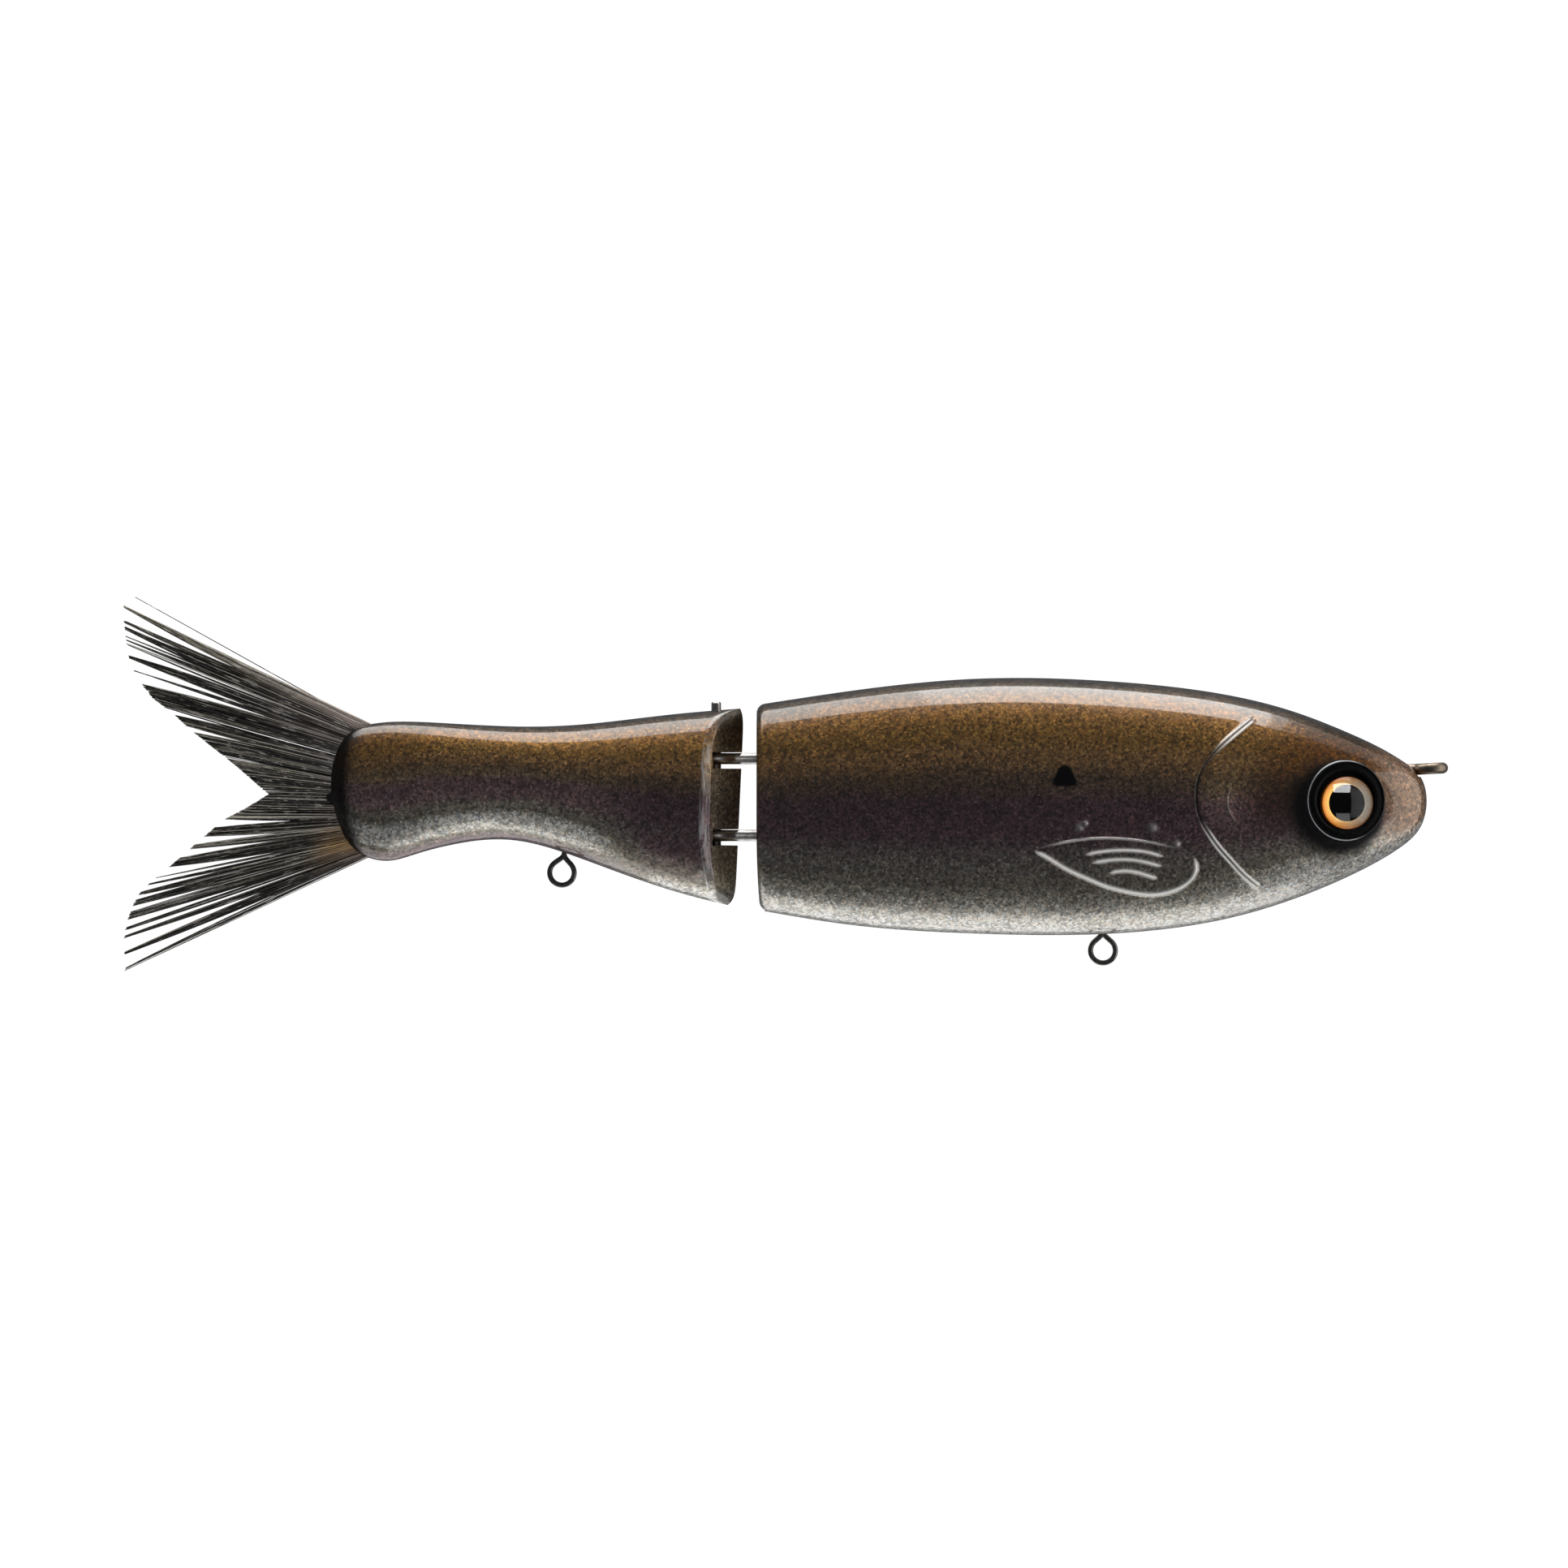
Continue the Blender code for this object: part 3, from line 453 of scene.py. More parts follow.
def tail_grid(side):
    tip = TAIL_END_X + np.linspace(0.1, 2.7, 34) ** 2
    flank = np.linspace(tip[-1] + 0.8, V_START_X, 60)
    xs = np.concatenate([tip, flank])
    levels = heights(140)
    y, z = section_point(tail_outline, xs[:, None], levels[None, :])
    rows = [np.stack([np.broadcast_to(xs[:, None], y.shape), y, z], 2)]
    corner = np.where(levels > 0, V_TOP_CORNER, V_BOTTOM_CORNER) * np.abs(levels) ** 14
    edge = V_APEX_X - V_EDGE_RAKE * (1 - levels) / 2 - corner
    for share in np.linspace(0, 1, 91)[1:]:
        share = 1 - (1 - share) ** 1.1
        x = V_START_X + (edge - V_START_X) * share
        y, z = section_point(tail_outline, x, levels)
        depth = np.maximum(edge - x, 0.0)
        slope = v_slope(levels)
        flank = slope * np.sqrt(depth * depth + 2 * V_APEX_ROUND * depth)
        start = (1 - V_CHAMFER) * y
        chamfer = start + V_CHAMFER_SLOPE * (depth - start / slope)
        trimmed = soft_least(soft_least(y, chamfer, V_EDGE_BLEND), flank, V_EDGE_BLEND)
        y = np.where(depth > 0, np.maximum(trimmed, 0.0), 0.0)
        rows.append(np.stack([x, y, z], 1)[None])
    grid = np.concatenate(rows, 0)
    grid[..., 1] = side * np.maximum(grid[..., 1], SEAM / 2)
    return grid


def cut_with(obj, cutters):
    """The object's mesh with the cutters taken out of it, and the cutters gone."""
    for cutter in cutters:
        modifier = obj.modifiers.new("cut", "BOOLEAN")
        modifier.object = cutter
        modifier.solver = "EXACT"
    bpy.context.view_layer.update()
    graph = bpy.context.evaluated_depsgraph_get()
    mesh = bpy.data.meshes.new_from_object(obj.evaluated_get(graph))
    obj.modifiers.clear()
    obj.data = mesh
    for cutter in cutters:
        bpy.data.objects.remove(cutter, do_unlink=True)
    finish_normals(mesh)


def cylinder(name, radius, low, high, matrix, sides=96):
    """A cutter along the matrix's Z from low to high, in millimetres."""
    bm = bmesh.new()
    bmesh.ops.create_cone(
        bm, cap_ends=True, segments=sides, radius1=radius * MM, radius2=radius * MM, depth=(high - low) * MM
    )
    bmesh.ops.translate(bm, vec=(0, 0, (low + high) / 2 * MM), verts=bm.verts)
    obj = add_object(name, mesh_from(bm, name))
    obj.matrix_world = matrix
    return obj


def box(name, low, high):
    """A cutter between two corners, in millimetres."""
    low, high = Vector(low) * MM, Vector(high) * MM
    bm = bmesh.new()
    bmesh.ops.create_cube(bm, size=1.0)
    bmesh.ops.scale(bm, vec=high - low, verts=bm.verts)
    bmesh.ops.translate(bm, vec=(low + high) / 2, verts=bm.verts)
    return add_object(name, mesh_from(bm, name))


def at_mm(x, y, z):
    return Matrix.Translation(Vector((x, y, z)) * MM)


def eye_frame(side):
    """The eye's own frame: its Z runs out of the flank, leaning towards the nose."""
    top, bottom, _ = head_outline(EYE_X)
    height = (EYE_Z - (top + bottom) / 2) / ((top - bottom) / 2)
    y = float(section_point(head_outline, EYE_X, height)[0])
    out = Vector((math.sin(EYE_LEAN), side * math.cos(EYE_LEAN), 0))
    return at_mm(EYE_X, side * y, EYE_Z) @ out.to_track_quat("Z", "Y").to_matrix().to_4x4()


def store(mesh, name, values):
    attribute = mesh.attributes.new(name, "FLOAT", "POINT")
    attribute.data.foreach_set("value", np.ascontiguousarray(values, np.float32))


def coordinates(mesh):
    points = np.empty(len(mesh.vertices) * 3, np.float32)
    mesh.vertices.foreach_get("co", points)
    return points.reshape(-1, 3).astype(float) / MM


def spot_mark(x, z):
    """The small painted mark behind the gill: a blunt triangle, point up, with soft edges."""
    cx, base, top, apex, half, sharp = -64.7, -3.35, 0.95, 3.6, 2.75, 2.6
    slope = math.hypot(half, apex - base)
    sides = [((apex - z) * half - side * (x - cx) * (apex - base)) / slope for side in (1, -1)]
    edges = np.clip([z - base, top - z, *sides], -6, 20)
    return soft_step(-0.05, 0.45, -np.log(np.exp(-sharp * edges).sum(0)) / sharp)


# On the tail section silver starts higher up the flank, and the keel is darker again: partly paint, partly a
# painted reflection of the floor along the lower flank.
TAIL_PAINT_AND_REFLECTION = (
    (-1.0, -0.93, -0.88, -0.84, -0.79, -0.58, -0.50, -0.42, -0.33, 1.0),
    (-0.26, -0.26, -0.40, -0.60, -0.88, -0.93, -0.78, -0.58, -0.36, 1.0),
)


def v_marks(x, z):
    """Worn paint and a painted highlight on the narrow chamfer round the V's edge, with a painted highlight
    line where it meets the flank, and where the V's bare flank is.
    """
    height = height_at(tail_outline, x, z)
    half = section_point(tail_outline, x, height)[0]
    slope = v_slope(height)
    depth = V_APEX_X - V_EDGE_RAKE * (1 - height) / 2 - x
    start = (1 - V_CHAMFER) * half / slope
    end = start + V_CHAMFER * half / V_CHAMFER_SLOPE
    # The chamfer's band is partly worn paint and partly a painted highlight, light caught on the chamfer.
    wear_and_sheen = 0.42 * soft_step(start - 0.35, start + 0.1, depth) * (1 - soft_step(end - 0.1, end + 0.3, depth))
    # A painted highlight line where the chamfer meets the flank.
    edge = 0.9 * np.exp(-(((depth - end - 0.05) / 0.16) ** 2))
    chamfer_wear_and_highlight = np.maximum(wear_and_sheen, edge) * (1 - 0.85 * soft_step(0.35, 0.75, height))
    return chamfer_wear_and_highlight, 1 - soft_step(start - 1.1, start - 0.2, depth)


def paint_marks(mesh, at):
    """Stores where each point lies on the paint scheme: its height on the section, and how much of each
    patch of paint, worn edge and moulded line is there."""
    x, _, z = coordinates(mesh).T
    height = height_at(at, x, z)
    nose = soft_step(-13.0, -4.0, x) * soft_step(-0.98, -0.5, height)
    pale = np.zeros(len(x))
    if at is tail_outline:
        rear = soft_step(134.0, 150.0, -x)
        pale = 0.7 * rear * soft_step(-0.45, -0.2, height) * (1 - soft_step(0.1, 0.4, height))
        height = height + rear * (np.interp(height, *TAIL_PAINT_AND_REFLECTION) - height)
        # Towards the joint that silver band, with its painted reflection, starts lower down.
        low_flank = soft_step(0.25, 0.6, -height) * (1 - soft_step(0.78, 0.95, -height))
        height = height + 0.3 * (1 - rear) * low_flank
    else:
        height = height - 0.2 * soft_step(-44.0, -22.0, x) * soft_step(0.40, 0.62, -height)
        pale = np.exp(-(((x + 36.6) / 4.4) ** 2) - ((z + 6.0) / 4.2) ** 2)
    store(mesh, "height", height)
    store(mesh, "pale", pale)
    store(mesh, "nose", nose)
    eye_gap = np.hypot(x - EYE_X + 0.9, z - EYE_Z + 0.9)
    tail_side = 1 + 0.9 * np.clip(-(x - EYE_X) - 0.7 * (z - EYE_Z), -8, 8) / 8
    shade = 1 - soft_step(AIRBRUSH_RADIUS, AIRBRUSH_RADIUS + AIRBRUSH_FADE * tail_side, eye_gap)
    end = 1 - soft_step(2.2, 5.0, x - TAIL_END_X - 0.016 * (z - TAIL_END_Z) ** 2)
    shade = np.maximum(shade, 0.97 * end)
    store(mesh, "shade", np.clip(shade, 0, 1))
    brow = (1 - soft_step(9.0, 21.0, eye_gap)) * soft_step(-0.35, 0.05, height) * (at is head_outline)
    store(mesh, "umber", brow)
    store(mesh, "mark", spot_mark(x, z))
    chamfer_wear_and_highlight, inner = v_marks(x, z) if at is tail_outline else (np.zeros(len(x)), np.zeros(len(x)))
    store(mesh, "chamfer_wear_and_highlight", chamfer_wear_and_highlight)
    store(mesh, "inner", inner)
    store_lines(mesh, x, z)


# ---------------------------------------------------------------- materials


class Nodes:
    """A short way to write a material's nodes."""

    def __init__(self, name):
        self.material = bpy.data.materials.new(name)
        self.material.use_nodes = True
        self.tree = self.material.node_tree
        self.shader = self.tree.nodes["Principled BSDF"]

    def set(self, **values):
        for key, value in values.items():
            self.shader.inputs[key.replace("_", " ")].default_value = value

    def node(self, kind, inputs=None, **settings):
        made = self.tree.nodes.new("ShaderNode" + kind)
        for key, value in settings.items():
            setattr(made, key, value)
        for key, value in (inputs or {}).items():
            self.put(made.inputs[key], value)
        return made

    def put(self, socket, value):
        if isinstance(value, bpy.types.NodeSocket):
            self.tree.links.new(value, socket)
        else:
            socket.default_value = value

    def to(self, key, value):
        self.put(self.shader.inputs[key], value)

    def math(self, operation, a, b=0.0, clamp=False):
        return self.node("Math", {0: a, 1: b}, operation=operation, use_clamp=clamp).outputs[0]

    def times(self, a, b, clamp=False):
        return self.math("MULTIPLY", a, b, clamp)

    def minus(self, a, b, clamp=False):
        return self.math("SUBTRACT", a, b, clamp)

    def most(self, a, b, clamp=False):
        return self.math("MAXIMUM", a, b, clamp)

    def attribute(self, name):
        return self.node("Attribute", attribute_name=name).outputs["Fac"]

    def place(self):
        return self.node("TexCoord").outputs["Object"]

    def noise(self, vector, scale, detail=2.0, roughness=0.5):
        inputs = {"Vector": vector, "Scale": scale, "Detail": detail, "Roughness": roughness}
        return self.node("TexNoise", inputs).outputs["Fac"]

    def cells(self, vector, scale):
        return self.node("TexVoronoi", {"Vector": vector, "Scale": scale})

    def ramp(self, value, stops):
        found = self.node("ValToRGB", {"Fac": value})
        band = found.color_ramp
        band.interpolation = "EASE"
        while len(band.elements) < len(stops):
            band.elements.new(0.5)
        for element, (at, colour) in zip(band.elements, stops):
            element.position = at
            colour = (colour,) * 3 if isinstance(colour, (int, float)) else colour
            element.color = (*colour, 1)
        return found.outputs["Color"]

    def mix(self, share, a, b, kind="MIX"):
        found = self.node("Mix", data_type="RGBA", blend_type=kind)
        self.put(found.inputs[0], share)
        self.put(found.inputs[6], a if isinstance(a, bpy.types.NodeSocket) else (*a, 1))
        self.put(found.inputs[7], b if isinstance(b, bpy.types.NodeSocket) else (*b, 1))
        return found.outputs[2]

    def range(self, value, low, high, to_low=0.0, to_high=1.0):
        inputs = {"Value": value, "From Min": low, "From Max": high, "To Min": to_low, "To Max": to_high}
        return self.node("MapRange", inputs).outputs["Result"]

    def tint(self, colour, by):
        return self.mix(1.0, colour, by, "MULTIPLY")

    def channel(self, cells, name):
        """One channel of the cells' random colour."""
        return self.node("SeparateColor", {"Color": cells.outputs["Color"]}).outputs[name]

    def bell(self, value, half):
        """1 where the value is 0, falling away smoothly over half on both sides."""
        share = self.math("DIVIDE", value, half)
        return self.math("EXPONENT", self.times(self.times(share, share), -1.0))

    def bump(self, height, distance, strength=1.0, normal=None):
        inputs = {"Height": height, "Distance": distance, "Strength": strength}
        if normal:
            inputs["Normal"] = normal
        return self.node("Bump", inputs).outputs["Normal"]


def body_paint():
    """Flake paint from a gold-brown back through plum to a silver belly, under gloss clear coat, with painted
    highlights and a faint painted glow on the moulded lines and the V's chamfer, and painted shade in the
    gill groove.
    """
    n = Nodes("flake_body_paint")
    place = n.place()
    wander = n.noise(place, 90.0, 3.0, 0.6)
    fine = n.noise(place, 900.0, 2.0, 0.6)
    height = n.attribute("height")
    shifted = n.math("ADD", height, n.times(n.minus(wander, 0.5), 0.16))
    shifted = n.math("ADD", shifted, n.times(n.minus(fine, 0.5), 0.16))
    level = n.range(shifted, -1.0, 1.0)
    colour = n.ramp(
        level,
        (
            (0.02, (0.66, 0.63, 0.57)), (0.06, (0.66, 0.62, 0.54)), (0.11, (0.48, 0.45, 0.385)),
            (0.15, (0.36, 0.325, 0.26)), (0.20, (0.24, 0.205, 0.16)), (0.26, (0.24, 0.205, 0.17)),
            (0.40, (0.140, 0.078, 0.086)), (0.50, (0.115, 0.062, 0.070)), (0.60, (0.140, 0.086, 0.050)),
            (0.70, (0.270, 0.146, 0.053)), (0.78, (0.220, 0.115, 0.025)), (0.86, (0.210, 0.102, 0.023)),
            (0.90, (0.165, 0.085, 0.033)), (0.96, (0.075, 0.054, 0.036)), (1.00, (0.050, 0.042, 0.034)),
        ),
    )
    flakes = n.cells(place, 3600.0)
    glint = n.channel(flakes, "Red")
    coarse = n.cells(place, 1900.0)
    tone = n.channel(coarse, "Green")
    gain = n.times(n.range(glint, 0, 1, 0.62, 1.45), n.range(tone, 0, 1, 0.50, 1.50))
    sparkle = n.range(glint, 0.93, 0.99, 0.0, 0.9)
    gain = n.math("ADD", gain, sparkle)
    scale = n.node("CombineColor", {"Red": gain, "Green": gain, "Blue": gain}).outputs["Color"]
    hue = n.channel(coarse, "Blue")
    scale = n.tint(scale, n.mix(hue, (1.07, 0.99, 0.92), (0.94, 1.01, 1.06)))
    colour = n.tint(colour, scale)
    inner = n.attribute("inner")
    colour = n.mix(n.times(n.attribute("pale"), 0.85), colour, n.tint(colour, (2.7, 3.0, 2.55)))
    bare = n.ramp(
        level,
        (
            (0.08, (0.07, 0.063, 0.05)), (0.35, (0.46, 0.385, 0.27)), (0.62, (0.46, 0.385, 0.27)),
            (0.9, (0.08, 0.062, 0.04)),
        ),
    )
    colour = n.mix(n.times(inner, 0.85), colour, n.tint(bare, scale))
    colour = n.mix(n.attribute("umber"), colour, n.tint(colour, (0.50, 0.36, 0.16)))
    colour = n.mix(n.attribute("nose"), colour, n.tint((0.27, 0.160, 0.090), scale))
    gill_gap = n.attribute("gill_gap")
    lips = n.bell(n.minus(n.math("ABSOLUTE", gill_gap), GILL_LIP), GILL_LIP_HALF)
    lips = n.times(lips, n.attribute("gill_lips"))
    groove = n.times(n.bell(gill_gap, GILL_GROOVE_HALF), n.attribute("gill_ends"))
    strength = n.attribute("line_strength")
    half = n.range(strength, 0.0, 1.0, *FIN_LINE_HALF)
    beads = n.times(n.bell(n.attribute("line_gap"), half), strength)
    # The lips, beads and dots are painted near white and less metallic: a painted highlight where light
    # catches the moulded lines.
    raised = n.most(lips, n.most(beads, n.attribute("raised_dot_and_highlight")))
    upright = n.node("Mapping", {"Vector": place, "Scale": (1, 1, 0.1)}).outputs[0]
    scratches = n.noise(upright, 1300.0, 3.0, 0.7)
    # The chamfer's worn paint and painted highlight, broken into scratches.
    wear_and_sheen = n.times(n.attribute("chamfer_wear_and_highlight"), n.range(scratches, 0.38, 0.64, 0.0, 1.15))
    painted_highlight_share = n.most(wear_and_sheen, raised, clamp=True)
    swell = n.most(n.times(lips, 0.45), n.most(beads, n.attribute("raised_dot_and_highlight")))
    middle = n.minus(n.attribute("gill_ends"), n.attribute("gill_lips"), clamp=True)
    # Painted shade: the gill groove, and the middle of the gill line where the lips fade, are painted near
    # black.
    shadow = n.times(n.bell(gill_gap, GILL_SHADOW_HALF), n.times(middle, 0.85))
    painted_groove_shade = n.most(shadow, n.times(groove, 0.8))
    colour = n.mix(painted_groove_shade, colour, (0.012, 0.010, 0.009))
    colour = n.mix(n.times(painted_highlight_share, 0.95), colour, (0.88, 0.87, 0.84))
    colour = n.mix(n.times(n.attribute("shade"), 0.985), colour, (0.004, 0.004, 0.004))
    colour = n.mix(n.attribute("mark"), colour, (0.005, 0.004, 0.005))
    n.to("Base Color", colour)
    dark = n.most(n.attribute("shade"), n.attribute("mark"))
    n.to("Metallic", n.times(n.range(dark, 0.0, 1.0, 0.72, 0.0), n.range(raised, 0.0, 1.0, 1.0, 0.2)))
    # A faint glow on the beads and gill lips, as a painted highlight.
    n.to("Emission Strength", n.times(n.most(beads, n.times(lips, 0.6)), 0.36))
    n.set(Emission_Color=(0.95, 0.93, 0.88, 1))
    n.to("Roughness", n.range(glint, 0.0, 1.0, 0.34, 0.5))
    lines = n.bump(n.minus(swell, n.times(groove, 0.4)), 0.00055, 1.0)
    n.to("Normal", n.bump(glint, 0.00005, 0.55, lines))
    peel = n.math("ADD", n.noise(place, 620.0, 2.0), n.times(fine, 0.6))
    n.tree.links.new(n.bump(peel, 0.000012, 0.6, lines), n.shader.inputs["Coat Normal"])
    coat = n.times(n.range(dark, 0.15, 1.0, 1.0, 0.12), n.range(inner, 0.0, 1.0, 1.0, 0.4))
    n.to("Coat Weight", coat)
    n.to("Specular IOR Level", n.range(dark, 0.15, 1.0, 0.5, 0.12))
    n.set(Coat_Roughness=0.045, Coat_IOR=1.52)
    return n.material


def steel(name, colour=(0.52, 0.48, 0.44), rough=0.22):
    """Drawn stainless wire: bright, with fine lines and small dull patches."""
    n = Nodes(name)
    place = n.place()
    patches = n.noise(place, 700.0, 3.0, 0.6)
    lines = n.noise(n.node("Mapping", {"Vector": place, "Scale": (1, 9, 9)}).outputs[0], 1500.0)
    n.to("Base Color", n.ramp(patches, ((0.3, tuple(0.62 * c for c in colour)), (0.6, colour))))
    n.to("Roughness", n.range(lines, 0.3, 0.7, rough * 0.7, rough * 1.5))
    n.to("Normal", n.bump(lines, 0.00001, 0.35))
    n.set(Metallic=1.0)
    return n.material


def eye_black():
    """Gloss black cup with its thin silver rim, brightened as a painted highlight that fades towards the
    nose.
    """
    n = Nodes("eye_cup_black")
    gap = n.attribute("radius")
    place = n.place()
    dust = n.noise(place, 1500.0, 2.0)
    # The light rim is partly silver and partly a painted highlight, faded on the nose side.
    rim = n.ramp(gap, ((0.968, 0.0), (0.978, 1.0), (1.0, 1.0)))
    rim = n.times(rim, n.range(n.attribute("nose_side"), 0.55, 0.95, 1.0, 0.1))
    n.to("Base Color", n.mix(rim, n.ramp(dust, ((0.4, 0.005), (0.8, 0.010))), (0.80, 0.81, 0.83)))
    n.to("Metallic", n.times(rim, 0.4))
    n.to("Roughness", n.range(dust, 0.3, 0.7, 0.38, 0.55))
    n.set(Specular_IOR_Level=0.1)
    return n.material


def iris_paint():
    """Black pupil and gold ring, painted orange on the gill side and paler towards the nose as painted light,
    with a faint painted glow.
    """
    n = Nodes("eye_iris_gold")
    gap = n.attribute("radius")
    place = n.place()
    streaks = n.noise(place, 2600.0, 3.0, 0.7)
    ring = n.ramp(gap, ((0.69, 0.0), (0.71, 1.0), (0.98, 1.0), (0.995, 0.2)))
    # The change from orange on the gill side to pale towards the nose is painted light.
    gold = n.mix(n.attribute("nose_side"), (0.98, 0.50, 0.14), (0.62, 0.58, 0.52))
    edge = n.ramp(gap, ((0.72, (1.5, 1.5, 1.4)), (0.82, (1.15, 1.05, 0.9)), (0.99, (0.72, 0.42, 0.22))))
    gold = n.tint(gold, edge)
    gold = n.mix(n.range(streaks, 0.35, 0.75, 0.0, 0.35), gold, (0.32, 0.14, 0.03))
    n.to("Base Color", n.mix(ring, (0.001, 0.001, 0.001), gold))
    n.to("Metallic", n.times(ring, 0.8))
    n.to("Roughness", n.range(ring, 0, 1, 0.3, 0.42))
    n.to("Specular IOR Level", n.range(ring, 0, 1, 0.0, 0.5))
    # The ring's glow, stronger on the gill side, is a painted highlight.
    n.to("Emission Color", n.mix(ring, (0.0, 0.0, 0.0), gold))
    n.to("Emission Strength", n.range(n.attribute("nose_side"), 0.0, 0.9, 0.42, 0.26))
    return n.material


def lens_clear():
    """Clear domed resin: what is behind it shows through, under sharp reflections."""
    n = Nodes("eye_lens_clear")
    dust = n.noise(n.place(), 1200.0, 3.0)
    clear = n.node("BsdfTransparent", {"Color": (0.93, 0.94, 0.95, 1)})
    gloss = n.node("BsdfGlossy", {"Roughness": n.range(dust, 0.3, 0.8, 0.06, 0.08)})
    edge = n.node("Fresnel", {"IOR": 1.36}).outputs[0]
    share = n.math("ADD", n.times(edge, 1.15), n.range(dust, 0.6, 0.8, 0.0, 0.004), clamp=True)
    inside = n.node("NewGeometry").outputs["Backfacing"]
    share = n.times(share, n.minus(1.0, inside))
    both = n.node("MixShader", {0: share, 1: clear.outputs[0], 2: gloss.outputs[0]})
    n.tree.links.new(both.outputs[0], n.tree.nodes["Material Output"].inputs["Surface"])
    n.tree.nodes.remove(n.shader)
    return n.material


def resin():
    n = Nodes("tail_resin_black")
    lumps = n.noise(n.place(), 900.0, 3.0)
    n.to("Base Color", n.ramp(lumps, ((0.35, 0.006), (0.7, 0.02))))
    n.to("Roughness", n.range(lumps, 0.3, 0.7, 0.3, 0.55))
    n.to("Normal", n.bump(lumps, 0.0003, 0.7))
    return n.material


def bristle():
    """Dark brush fibre, each with its own tone, with paint overspray near the root."""
    n = Nodes("tail_bristle")
    tone, along = n.attribute("tone"), n.attribute("along")
    own = n.ramp(
        tone,
        (
            (0.0, (0.010, 0.0085, 0.006)), (0.3, (0.052, 0.044, 0.030)), (0.55, (0.28, 0.245, 0.185)),
            (0.8, (0.66, 0.60, 0.49)), (1.0, (0.88, 0.85, 0.77)),
        ),
    )
    place = n.place()
    patch = n.noise(place, 260.0, 2.0)
    run = n.node("CombineXYZ", {0: n.times(n.attribute("share"), 150.0), 1: n.times(along, 8.0)})
    fleck = n.noise(run.outputs[0], 1.0, 3.0, 0.65)
    dull = n.times(n.range(fleck, 0.47, 0.56, 0.0, 0.92), n.range(tone, 0.66, 0.8, 1.0, 0.2))
    own = n.mix(dull, own, n.tint(own, (0.12, 0.115, 0.10)))
    own = n.mix(n.range(fleck, 0.44, 0.36, 0.0, 0.7), own, (0.86, 0.82, 0.74))
    spray = n.ramp(
        n.attribute("drop"),
        (
            (0.0, (0.52, 0.42, 0.38)), (0.4, (0.42, 0.38, 0.36)), (0.7, (0.34, 0.27, 0.25)),
            (0.88, (0.70, 0.45, 0.20)), (1.0, (0.44, 0.33, 0.28)),
        ),
    )
    reach = n.range(n.attribute("drop"), 0.5, 0.85, 0.5, 0.27)
    cover = n.math("DIVIDE", n.minus(reach, along), n.minus(reach, 0.05), clamp=True)
    cover = n.times(cover, n.range(n.attribute("drop"), 0.5, 0.85, 1.0, 1.7))
    cover = n.times(cover, n.range(patch, 0.3, 0.62, 0.35, 1.0))
    streak = n.range(tone, 0.05, 0.6, 0.15, 1.0)
    cover = n.times(cover, streak, clamp=True)
    n.to("Base Color", n.mix(cover, own, spray))
    n.to("Roughness", n.range(tone, 0, 1, 0.36, 0.5))
    n.set(Specular_IOR_Level=0.6)
    return n.material


# ---------------------------------------------------------------- painted bodies


def head_half(side, word, paint):
    piece = add_object(f"front_skin_{word}", closed_half("front_skin", head_grid(side)), paint)
    tilt = Matrix.Rotation(LINE_TIE_TILT, 4, "Y")
    seat = cylinder("tie_seat", RING_RADIUS + RING_WIRE + 0.35, -1.35, 1.5, tilt, 64)
    socket = cylinder("socket", EYE_RADIUS + 0.12, -SOCKET_DEPTH, 6, eye_frame(side))
    cut_with(piece, [seat, socket])
    paint_marks(piece.data, head_outline)
    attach(piece, "front_section")
    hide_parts(f"front_shell_{word}")


def tail_half(side, word, paint):
    piece = add_object(f"rear_skin_{word}", closed_half("rear_skin", tail_grid(side)), paint)
    cutters = []
    for z in (UPPER_EYE_Z, LOWER_EYE_Z):
        spot = at_mm(SLOT_BACK_X + SLOT_CUTTER_RADIUS, 0, z - SLOT_DROP)
        cutters.append(cylinder("slot", SLOT_CUTTER_RADIUS, -SLOT_HEIGHT / 2, SLOT_HEIGHT / 2, spot, 160))
    cutters.append(
        box("root_slot", (FAN_AXIS_X - 12, -ROOT_SLOT_HALF, -24), (FAN_AXIS_X, ROOT_SLOT_HALF, 16))
    )
    cut_with(piece, cutters)
    paint_marks(piece.data, tail_outline)
    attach(piece, "rear_section")
    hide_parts(f"rear_shell_{word}")


# ---------------------------------------------------------------- eyes


def turned(name, profile, steps, material):
    """A surface turned about Z from a profile of (radius, z) in millimetres, with its radius stored."""
    profile = np.array(profile, float)
    angles = np.linspace(0, 2 * math.pi, steps, endpoint=False)
    radius, z = profile[:, 0][:, None], profile[:, 1][:, None]
    points = np.stack(
        [radius * np.cos(angles), radius * np.sin(angles), np.broadcast_to(z, (len(profile), steps))], 2
    ).reshape(-1, 3)
    return add_object(name, mesh_of(name, points, ring_faces(len(profile), steps), 40), material)


def rounded(points, radius, steps=4):
    """The profile with its inner corners rounded."""
    points = [np.array(p, float) for p in points]
    out = [points[0]]
    for before, corner, after in zip(points, points[1:], points[2:]):
        a, b = before - corner, after - corner
        reach = min(radius, np.linalg.norm(a) / 2, np.linalg.norm(b) / 2)
        start, end = corner + a / np.linalg.norm(a) * reach, corner + b / np.linalg.norm(b) * reach
        for t in np.linspace(0, 1, steps):
            out.append((1 - t) ** 2 * start + 2 * t * (1 - t) * corner + t**2 * end)
    out.append(points[-1])
    return out


